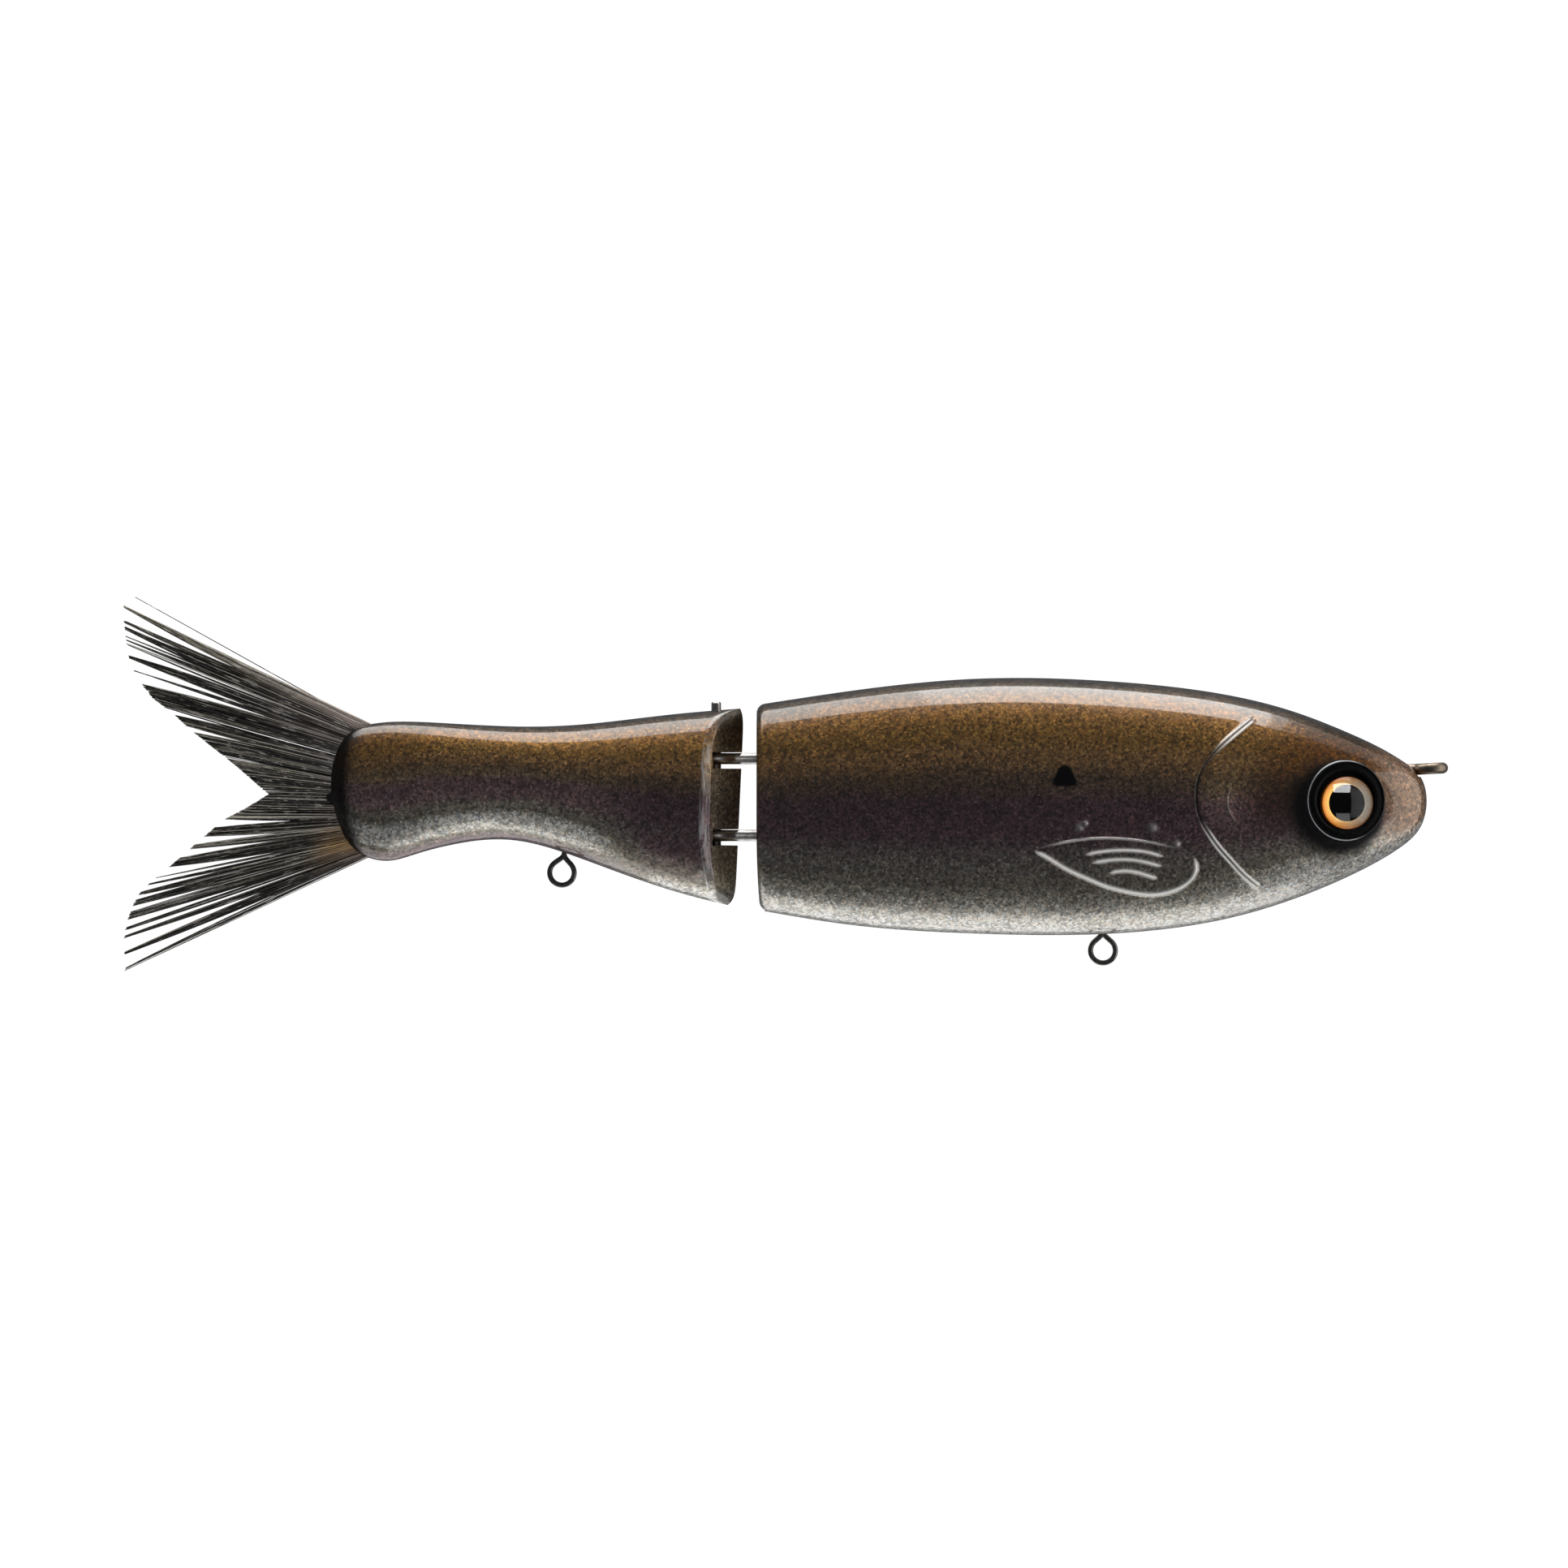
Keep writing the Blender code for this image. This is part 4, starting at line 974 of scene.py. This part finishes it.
def eye_profiles():
    cup = [(0.01, -1.6), (IRIS_RADIUS + 0.65, -1.6), (IRIS_RADIUS + 0.65, -0.2), (5.7, -0.05)]
    cup += [(6.45, -0.24), (6.68, -0.2), (6.8, -0.05), (6.97, -0.05), (EYE_RADIUS, -0.3), (EYE_RADIUS, -0.95)]
    cup += [(EYE_RADIUS, -3.0), (0.01, -3.0)]
    iris = [(0.01, -1.1), (1.8, -1.1), (3.02, -1.1), (3.14, -1.06)]
    iris += [(r, -1.02 + 0.42 * (r - 3.2)) for r in np.linspace(3.2, 4.52, 10)]
    iris += [(IRIS_RADIUS, -0.55), (IRIS_RADIUS, -1.4), (0.01, -1.4)]
    crown = LENS_CURVE - math.sqrt(LENS_CURVE**2 - IRIS_RADIUS**2)
    lens = []
    for turn in np.linspace(0.002, math.asin(IRIS_RADIUS / LENS_CURVE), 20):
        lens.append((LENS_CURVE * math.sin(turn), -0.1 + crown - LENS_CURVE * (1 - math.cos(turn))))
    lens += [(IRIS_RADIUS, -0.45), (0.01, -0.45)]
    return rounded(cup, 0.05), iris, lens


def eye(side, word, materials):
    place = eye_frame(side)
    for kind, profile in zip(("cup", "iris", "lens"), eye_profiles()):
        piece = turned(f"{word}_{kind}", profile, 96, materials[kind])
        x, y, _ = coordinates(piece.data).T
        outer = EYE_RADIUS if kind == "cup" else IRIS_RADIUS
        store(piece.data, "radius", np.hypot(x, y) / outer)
        world = place.to_3x3()
        towards_nose = (world @ Vector((1, 0, 0))).x * x + (world @ Vector((0, 1, 0))).x * y
        store(piece.data, "nose_side", soft_step(-2.0, 4.4, towards_nose))
        shift = (0, 0) if kind == "cup" else IRIS_SHIFT
        piece.matrix_world = at_mm(shift[0], 0, shift[1]) @ place
        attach(piece, "front_section")
        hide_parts(f"{word}_eye_{kind}")


# ---------------------------------------------------------------- wire and pin


def tube(name, points, radius, material, sides=20):
    """A round wire along points in millimetres, its ends closed with small domes."""
    points = np.array(points, float)
    tangent = np.gradient(points, axis=0)
    tangent /= np.linalg.norm(tangent, axis=1)[:, None]
    across = np.array((0.0, 1.0, 0.0)) if abs(tangent[0][1]) < 0.9 else np.array((1.0, 0.0, 0.0))
    rings, angles = [], np.linspace(0, 2 * math.pi, sides, endpoint=False)
    shares = [(0, -1.0, 0.02), (0, -0.8, 0.6), (0, -0.4, 0.92)]
    shares += [(i, 0.0, 1.0) for i in range(len(points))]
    shares += [(len(points) - 1, 0.4, 0.92), (len(points) - 1, 0.8, 0.6), (len(points) - 1, 1.0, 0.02)]
    for i, reach, scale in shares:
        across = across - tangent[i] * (across @ tangent[i])
        across /= np.linalg.norm(across)
        other = np.cross(tangent[i], across)
        centre = points[i] + tangent[i] * reach * radius * 0.6
        rings.append(
            centre + scale * radius * (np.cos(angles)[:, None] * across + np.sin(angles)[:, None] * other)
        )
    faces = ring_faces(len(rings), sides)
    faces.append(tuple(range(sides))[::-1])
    faces.append(tuple(range((len(rings) - 1) * sides, len(rings) * sides)))
    return add_object(name, mesh_of(name, np.concatenate(rings), faces, 50), material)


def screw_eye_route(towards):
    """A flat ring bent from the end of its own shank, which runs along X."""
    start, end = math.radians(158), math.radians(-180)
    ring = [
        (RING_RADIUS * math.cos(a) * -towards, RING_RADIUS * math.sin(a), 0.0)
        for a in np.linspace(start, end + 0.45, 56)
    ]
    bends = zip(np.linspace(2.1, 3.6, 8), np.linspace(0.15, 1, 8))
    neck = [(towards * x, -0.93 * (1 - t) ** 2, 0.0) for x, t in bends]
    shank = [(towards * x, 0.0, 0.0) for x in np.linspace(4.2, SHANK_END - 0.3, 12)]
    return ring + neck + shank


def screw_eye(name, x, z, towards, material, tilt=0.0):
    piece = tube(name + "_wire", screw_eye_route(towards), RING_WIRE * 0.985, material, 24)
    piece.matrix_world = at_mm(x, 0, z) @ Matrix.Rotation(tilt, 4, "Y")
    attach(piece, "front_section")
    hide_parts(name)


def hanger_route():
    """Down the neck, round the hook loop and back up the neck beside itself."""
    offset = HANGER_WIRE_RADIUS * 1.06
    opening = math.asin(HANGER_LOOP_RADIUS / HANGER_DROP)
    first = math.pi - opening
    angles = np.linspace(first, first + math.pi + 2 * opening, 49)
    reach = HANGER_LOOP_RADIUS
    loop = [(reach * math.cos(a), -HANGER_DROP + reach * math.sin(a)) for a in angles]
    route = [(0.0, offset, z) for z in np.linspace(HANGER_NECK, 0.25, 8)]
    tangents = np.linspace(0, 1, 7)[1:-1]
    route += [(loop[0][0] * t, offset, 0.12 * (1 - t) + loop[0][1] * t) for t in tangents]
    for i, (u, v) in enumerate(loop):
        route.append((u, offset * math.cos(math.pi * i / (len(loop) - 1)), v))
    route += [(loop[-1][0] * t, -offset, 0.12 * (1 - t) + loop[-1][1] * t) for t in tangents[::-1]]
    route += [(0.0, -offset, z) for z in np.linspace(0.25, HANGER_NECK, 8)]
    smooth = np.array(route)
    for _ in range(3):
        smooth[1:-1] = (smooth[:-2] + 2 * smooth[1:-1] + smooth[2:]) / 4
    return smooth


def hook_hanger(name, spot, body, material):
    x, z, lean = spot
    piece = tube(name + "_wire", hanger_route(), HANGER_WIRE_RADIUS, material, 20)
    piece.matrix_world = at_mm(x, 0, z) @ Matrix.Rotation(lean, 4, "Y")
    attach(piece, body)
    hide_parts(name)


def pin(material):
    top, bottom, chamfer = PIN_TOP_Z, PIN_BOTTOM_Z, 0.18
    profile = [(0.01, top), (PIN_RADIUS - chamfer, top), (PIN_RADIUS, top - chamfer)]
    profile += [(PIN_RADIUS, z) for z in np.linspace(top - 1.0, bottom + 1.0, 24)]
    profile += [(PIN_RADIUS, bottom + chamfer), (PIN_RADIUS - chamfer, bottom), (0.01, bottom)]
    piece = turned("hinge_pin_rod", profile, 32, material)
    piece.matrix_world = at_mm(PIN_X, 0, 0)
    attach(piece, "rear_section")
    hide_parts("hinge_pin")


# ---------------------------------------------------------------- bristle tail


def end_arc(z, shift=0.0):
    """X of the tail section's blunt end seen from the side, at these heights."""
    xs = TAIL_END_X + np.linspace(0.0, 2.75, 400) ** 2
    top, bottom, _ = tail_outline(xs)
    upper = np.interp(z, top, xs)
    lower = np.interp(-z, -bottom, xs)
    return np.where(z > TAIL_END_Z, upper, lower) - shift


def along_path(points, share):
    """Points at these shares of the length of a path."""
    points = np.array(points, float)
    lengths = np.concatenate([[0], np.cumsum(np.hypot(*np.diff(points, axis=0).T))])
    at = np.clip(share, 0, 1) * lengths[-1]
    return np.interp(at, lengths, points[:, 0]), np.interp(at, lengths, points[:, 1])


# Each lobe's tips from the notch outwards, and its gaps. A gap is where it lies across the tips, how far
# out it opens, and its half width there.
UPPER_TIPS = (
    FAN_NOTCH,
    (-209.9, 0.7), (-217.6, 6.8), (-220.7, 9.7), (-224.4, 12.5), (-227.0, 16.0), (-228.2, 18.6),
    (-228.9, 22.0), (-229.3, 26.0), (-229.35, 28.6),
)
LOWER_TIPS = (
    FAN_NOTCH,
    (-207.5, -6.7), (-212.0, -9.1), (-222.0, -17.8), (-224.6, -19.9), (-226.9, -22.3), (-228.0, -24.4),
    (-228.9, -27.2), (-229.3, -30.0), (-229.2, -32.2), (-229.1, -35.4),
)
UPPER_GAPS = (
    (0.410, 0.50, 0.0200), (0.513, 0.48, 0.0250), (0.722, 0.20, 0.0330), (0.752, 0.24, 0.0280),
    (0.824, 0.64, 0.0230), (0.856, 0.62, 0.0060), (0.870, 0.55, 0.0060), (0.885, 0.72, 0.0140),
    (0.925, 0.72, 0.0080), (0.958, 0.48, 0.0260),
)
LOWER_GAPS = (
    (0.237, 0.28, 0.0270), (0.345, 0.40, 0.0250), (0.422, 0.24, 0.0280), (0.554, 0.27, 0.0360),
    (0.588, 0.32, 0.0180), (0.634, 0.60, 0.0190), (0.690, 0.62, 0.0110), (0.745, 0.56, 0.0130),
    (0.815, 0.33, 0.0170), (0.850, 0.40, 0.0110), (0.898, 0.24, 0.0290), (0.960, 0.33, 0.0280),
    (0.987, 0.48, 0.0110),
)
# A single hair lies clear of each lobe's outer edge: the share of the root it leaves from, and its tip.
UPPER_STRAY = (0.98, (-227.3, 30.1))
LOWER_STRAY = (0.98, (-229.2, -35.5))
# Bands of equal tone across a lobe, how far along it a gap pushes fibres aside, and the thinnest and the
# thickest fibre's radius at the root.
BANDS = 181
GAP_REACH = 0.045
FIBRE_RADII = (0.10, 0.135)


def spread(share, out, gaps):
    """Where across the lobe a fibre is at this distance out, pushed aside by the gaps."""
    moved = share.copy()
    for at, opens, half in gaps:
        reach = np.clip((out - opens) / (1 - opens), 0, 1)
        side = np.where(share > at, 1.0, -1.0)
        moved = moved + side * half * reach * np.exp(-np.abs(share - at) / GAP_REACH)
    return moved


def fibres(name, count, tips, root_z, bunch, gaps, sparse, stray, pale_from, material, nodes):
    """One mesh of separate bristles, from inside the end groove to the cut tips."""
    share = np.sort(random.uniform(0.0, 1.0, count))
    depth = random.uniform(-1.0, 1.0, count)
    for at, half, keep in sparse:
        drop = (np.abs(share - at) < half) & (random.uniform(0, 1, len(share)) > keep)
        share, depth = share[~drop], depth[~drop]
    share, depth = np.append(share, stray[0]), np.append(depth, 0.0)
    count = len(share)
    shades = random.choice((0.0, 0.3, 0.62, 0.95), BANDS, p=(0.39, 0.24, 0.23, 0.14))
    band_tone = 0.95 * np.interp(share, np.linspace(0, 1, BANDS), shades) - 0.05
    tone = np.clip(band_tone + random.normal(0, 0.12, count), 0, 1)
    bright = random.uniform(0, 1, count) > 0.90
    tone[bright] = random.uniform(0.75, 1.0, bright.sum())
    tone[share > pale_from] = random.uniform(0.45, 0.8, (share > pale_from).sum())
    short = np.where(random.uniform(0, 1, count) > 0.9, random.uniform(0, 0.06, count), 0)
    cut = 1 - np.abs(random.normal(0, 0.006, count)) - short
    width = random.uniform(*FIBRE_RADII, count)
    wave = random.normal(0, 1, (2, count))
    cut[-1], wave[:, -1], tone[-1] = 1.0, 0.0, 0.2
    segments, sides = 10, 3
    out = np.linspace(0, 1, segments + 1)
    angles = np.linspace(0, 2 * math.pi, sides, endpoint=False)
    start_z = root_z[0] + (root_z[1] - root_z[0]) * share**bunch
    start_x = end_arc(start_z, -2.2 - 0.6 * np.abs(depth))
    points = np.empty((count, segments + 1, sides, 3))
    for k, f in enumerate(out):
        far = f * cut
        where = spread(share, far, gaps)
        tip_x, tip_z = along_path(tips, where)
        tip_x[-1], tip_z[-1] = stray[1]
        x = start_x + (tip_x - start_x) * far
        z = start_z + (tip_z - start_z) * far
        bow = math.sin(math.pi * f)
        z = z + bow * wave[0] * 0.05
        y = depth * (0.95 + 0.1 * f) * (1.25 - 0.55 * f) + wave[1] * 0.16 * f
        thick = width * (1.0 - 0.35 * f)
        for j, a in enumerate(angles + 0.5):
            points[:, k, j, 0] = x + thick * 0.35 * math.cos(a)
            points[:, k, j, 1] = y + thick * math.sin(a)
            points[:, k, j, 2] = z + thick * math.cos(a)
    flat = points.reshape(-1, 3)
    base = np.arange(count)[:, None, None] * (segments + 1) * sides
    ring = base + np.arange(segments)[None, :, None] * sides
    here, after = np.arange(sides), (np.arange(sides) + 1) % sides
    quads = np.stack([ring + here, ring + after, ring + sides + after, ring + sides + here], 3).reshape(-1, 4)
    ends = base[:, :, 0] + segments * sides + np.arange(sides)
    mesh = bpy.data.meshes.new(name)
    mesh.from_pydata((flat * MM).tolist(), [], quads.tolist() + ends.tolist())
    mesh.update()
    mesh.shade_smooth()
    per = (segments + 1) * sides
    store(mesh, "tone", np.repeat(tone, per))
    store(mesh, "share", np.repeat(share, per))
    store(mesh, "along", np.tile(np.repeat(out, sides), count))
    store(mesh, "drop", np.repeat(np.clip((7.7 - start_z) / 22.8, 0, 1), per))
    piece = add_object(name, mesh, material)
    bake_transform(piece)
    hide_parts(*nodes)


def tail_root(material):
    """Set resin that fills the groove round the bristles, with an uneven surface."""
    zs = np.linspace(6.9, -14.9, 60)
    arc = end_arc(zs, -0.75)
    rings, across = [], np.linspace(-1, 1, 9)
    rough = random.normal(0, 0.07, (len(zs), len(across)))
    for i, z in enumerate(zs):
        bulge = 0.45 * (1 - across**2) + rough[i]
        bump = 1.5 * math.exp(-(((z + 5.2) / 1.0) ** 2))
        x = arc[i] - bulge - bump * (1 - across**8)
        rings.append(np.stack([x, across * (ROOT_SLOT_HALF - 0.04), np.full(9, z)], 1))
    front = np.array(rings)
    back = front.copy()
    back[..., 0] = FAN_AXIS_X - 0.3
    grid = np.concatenate([front, back[:, ::-1]], 1)
    rows, columns, _ = grid.shape
    faces = grid_faces(rows, columns)
    for i in range(rows - 1):
        a, b = i * columns, (i + 1) * columns
        faces.append((a + columns - 1, a, b, b + columns - 1))
    faces.append(tuple(range(columns)))
    faces.append(tuple(range((rows - 1) * columns, rows * columns))[::-1])
    mesh = mesh_of("tail_root_resin", grid.reshape(-1, 3), faces, 40)
    piece = add_object("tail_root_resin", mesh, material)
    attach(piece, "rear_section")
    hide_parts("tail_root")


# ---------------------------------------------------------------- studio


def emission(name, strength):
    material = bpy.data.materials.new(name)
    material.use_nodes = True
    tree = material.node_tree
    tree.nodes.remove(tree.nodes["Principled BSDF"])
    glow = tree.nodes.new("ShaderNodeEmission")
    glow.inputs["Strength"].default_value = strength
    tree.links.new(glow.outputs[0], tree.nodes["Material Output"].inputs["Surface"])
    return material, tree, glow


def only_for_camera(obj):
    """Keeps it out of reflections, bounced light and shadows."""
    obj.visible_diffuse = False
    obj.visible_glossy = False
    obj.visible_transmission = False
    obj.visible_volume_scatter = False
    obj.visible_shadow = False


def softbox(name, spot, aim, size, radiance):
    """An even rectangular light, by the brightness of its face."""
    data = bpy.data.lights.new(name, "AREA")
    data.shape = "RECTANGLE"
    data.size, data.size_y = size
    data.energy = radiance * math.pi * size[0] * size[1]
    obj = bpy.data.objects.new(name, data)
    bpy.context.scene.collection.objects.link(obj)
    obj.location = spot
    obj.rotation_euler = (Vector(aim) - Vector(spot)).to_track_quat("-Z", "Y").to_euler()
    obj.visible_camera = False
    return obj


def seen_by(light, names):
    """Keeps a light to the named pieces."""
    chosen = bpy.data.collections.new(f"{light.name}_receivers")
    for name in names:
        chosen.objects.link(bpy.data.objects[name])
    light.light_linking.receiver_collection = chosen


def eye_lights(side):
    """Small panels that only the eye's clear dome reflects, as three windows."""
    word = "left" if side > 0 else "right"
    eye_spot = eye_frame(side).translation
    panels = (
        ("window", -6.0, 52.0, (0.56, 0.36), 22.0),
        ("low_window", -2.0, -50.0, (0.46, 0.34), 4.0),
        ("side_window", 41.0, 0.0, (0.32, 1.3), 1.3),
    )
    for name, turn, rise, size, radiance in panels:
        turn, rise = math.radians(turn), math.radians(rise)
        level = math.cos(rise)
        away = Vector((math.sin(turn) * level, side * math.cos(turn) * level, math.sin(rise)))
        light = softbox(f"{word}_eye_{name}", eye_spot + 0.6 * away, eye_spot, size, radiance)
        seen_by(light, [f"{word}_lens"])


# The middle of the picture, its width there, and the stage round it, in metres.
CENTRE = Vector((-0.1134, 0, -0.0027))
PICTURE_WIDTH = 0.2753
LENS = 150
SENSOR = 36
FLOOR_Z = -0.29
FLOOR_RADIUS = 1.2
FAR_FLOOR_RADIUS = 7.0
FAR_FLOOR_LIFT = 0.002
BACKDROP_RADIUS = 8.0
WHITE = 1.05
SKY = (0.8, 0.85, 0.95, 1)
SKY_STRENGTH = 0.12


def disc(name, radius):
    bm = bmesh.new()
    bmesh.ops.create_circle(bm, cap_ends=True, segments=96, radius=radius)
    return mesh_from(bm, name)


def studio():
    """The floor, which fades to white far away, the white backdrop, the lights and the camera."""
    n = Nodes("pale_floor")
    grain = n.noise(n.place(), 60.0, 3.0)
    n.to("Base Color", n.ramp(grain, ((0.3, 0.80), (0.7, 0.84))))
    n.to("Roughness", n.range(grain, 0, 1, 0.75, 0.9))
    floor = add_object("floor", disc("floor", FLOOR_RADIUS), n.material)
    floor.location = (CENTRE.x, 0, FLOOR_Z)
    floor.visible_glossy = False
    floor.visible_diffuse = False
    far, tree, glow = emission("far_floor_white", WHITE)
    place = tree.nodes.new("ShaderNodeTexCoord")
    length = tree.nodes.new("ShaderNodeVectorMath")
    length.operation = "LENGTH"
    fade = tree.nodes.new("ShaderNodeMapRange")
    fade.interpolation_type = "SMOOTHSTEP"
    fade.inputs["From Min"].default_value = 0.3
    fade.inputs["From Max"].default_value = 1.1
    clear = tree.nodes.new("ShaderNodeBsdfTransparent")
    mix = tree.nodes.new("ShaderNodeMixShader")
    tree.links.new(place.outputs["Object"], length.inputs[0])
    tree.links.new(length.outputs["Value"], fade.inputs["Value"])
    tree.links.new(fade.outputs["Result"], mix.inputs[0])
    tree.links.new(clear.outputs[0], mix.inputs[1])
    tree.links.new(glow.outputs[0], mix.inputs[2])
    tree.links.new(mix.outputs[0], tree.nodes["Material Output"].inputs["Surface"])
    rim = add_object("far_floor", disc("far_floor", FAR_FLOOR_RADIUS), far)
    rim.location = (CENTRE.x, 0, FLOOR_Z + FAR_FLOOR_LIFT)
    only_for_camera(rim)
    bm = bmesh.new()
    bmesh.ops.create_uvsphere(bm, u_segments=48, v_segments=24, radius=BACKDROP_RADIUS)
    dome = add_object("backdrop", mesh_from(bm, "backdrop"), emission("backdrop_white", WHITE)[0])
    only_for_camera(dome)
    softbox("tail_overhead_softbox", (-0.34, 0.076, 0.50), (-0.34, 0.076, 0), (0.42, 0.365), 3.7)
    softbox("overhead_softbox", (0.01, 0.076, 0.50), (0.01, 0.076, 0), (0.28, 0.365), 5.6)
    softbox("step_overhead_softbox", (0.165, 0.0765, 0.50), (0.165, 0.0765, 0), (0.03, 0.364), 2.2)
    softbox("front_overhead_softbox", (0.365, 0.079, 0.50), (0.365, 0.079, 0), (0.37, 0.358), 0.55)
    meshes = [o for o in bpy.context.scene.objects if o.type == "MESH"]
    pieces = [o.name for o in meshes if o not in (floor, rim, dome)]
    nose = softbox("nose_softbox", (0.55, -0.13, -0.05), (0.0, -0.13, -0.05), (0.55, 1.1), 1.5)
    seen_by(nose, pieces)
    nose_side = softbox("nose_side_softbox", (0.55, -0.58, -0.05), (0.0, -0.58, -0.05), (0.35, 1.1), 0.25)
    seen_by(nose_side, pieces)
    softbox("belly_card", (-0.18, 0.14, -0.27), (-0.18, 0.14, 0), (0.56, 0.32), 1.15)
    tail_card = softbox("tail_belly_card", (-0.14, -0.08, -0.27), (-0.14, -0.08, 0), (0.13, 0.14), 1.3)
    seen_by(tail_card, ["rear_skin_left", "rear_skin_right"])
    fill = softbox("bristle_fill", (-0.45, -0.80, 0.40), (-0.21, 0, 0), (0.50, 0.50), 3.8)
    seen_by(fill, ["tail_upper_fibres", "tail_lower_fibres"])
    glint = softbox("hinge_glint", (-0.12, -0.60, 0.03), (-0.12, 0, -0.005), (0.60, 0.05), 2.4)
    seen_by(glint, ["upper_hinge_eye_wire", "lower_hinge_eye_wire"])
    for side in (1, -1):
        eye_lights(side)
    world = bpy.data.worlds.new("studio")
    bpy.context.scene.world = world
    world.use_nodes = True
    world.node_tree.nodes["Background"].inputs["Color"].default_value = SKY
    world.node_tree.nodes["Background"].inputs["Strength"].default_value = SKY_STRENGTH
    data = bpy.data.cameras.new("camera")
    data.lens = LENS
    data.sensor_width = SENSOR
    data.clip_end = 50
    camera = bpy.data.objects.new("camera", data)
    bpy.context.scene.collection.objects.link(camera)
    camera.location = (CENTRE.x, -PICTURE_WIDTH * LENS / SENSOR, CENTRE.z)
    camera.rotation_euler = (math.pi / 2, 0, 0)
    bpy.context.scene.camera = camera
    bpy.context.scene.view_settings.view_transform = "Standard"


def build():
    paint = body_paint()
    wire = steel("pin_wire")
    tie_wire = steel("line_tie_wire", (0.30, 0.24, 0.185), 0.38)
    ring_wire = steel("hinge_ring_wire", (0.86, 0.81, 0.77), 0.36)
    dark_wire = steel("hanger_wire", (0.20, 0.19, 0.175), 0.22)
    eye_materials = {"cup": eye_black(), "iris": iris_paint(), "lens": lens_clear()}
    for side, word in ((1, "left"), (-1, "right")):
        head_half(side, word, paint)
        tail_half(side, word, paint)
        eye(side, word, eye_materials)
    screw_eye("line_tie_eye", 0, 0, -1, tie_wire, LINE_TIE_TILT)
    screw_eye("upper_hinge_eye", PIN_X, UPPER_EYE_Z, 1, ring_wire)
    screw_eye("lower_hinge_eye", PIN_X, LOWER_EYE_Z, 1, ring_wire)
    hook_hanger("belly_hook_hanger", BELLY_HANGER, "front_section", dark_wire)
    hook_hanger("rear_hook_hanger", REAR_HANGER, "rear_section", dark_wire)
    pin(wire)
    tail_root(resin())
    hair = bristle()
    fibres(
        "tail_upper_fibres", 660, UPPER_TIPS, (-4.6, 7.5), 1.0, UPPER_GAPS,
        ((0.858, 0.018, 0.5),), UPPER_STRAY, 0.960, hair, ["tail_upper_tuft"],
    )
    fibres(
        "tail_lower_fibres", 640, LOWER_TIPS, (-4.4, -15.0), 0.6, LOWER_GAPS,
        ((0.70, 0.02, 0.7), (0.86, 0.03, 0.6), (0.97, 0.03, 0.6)),
        LOWER_STRAY, 1.0, hair, ["tail_lower_tuft"],
    )
    for name in ("fore_ballast", "aft_ballast", "rear_ballast"):
        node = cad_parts[name]
        node.data.materials.clear()
        node.data.materials.append(dark_wire)
    studio()


build()
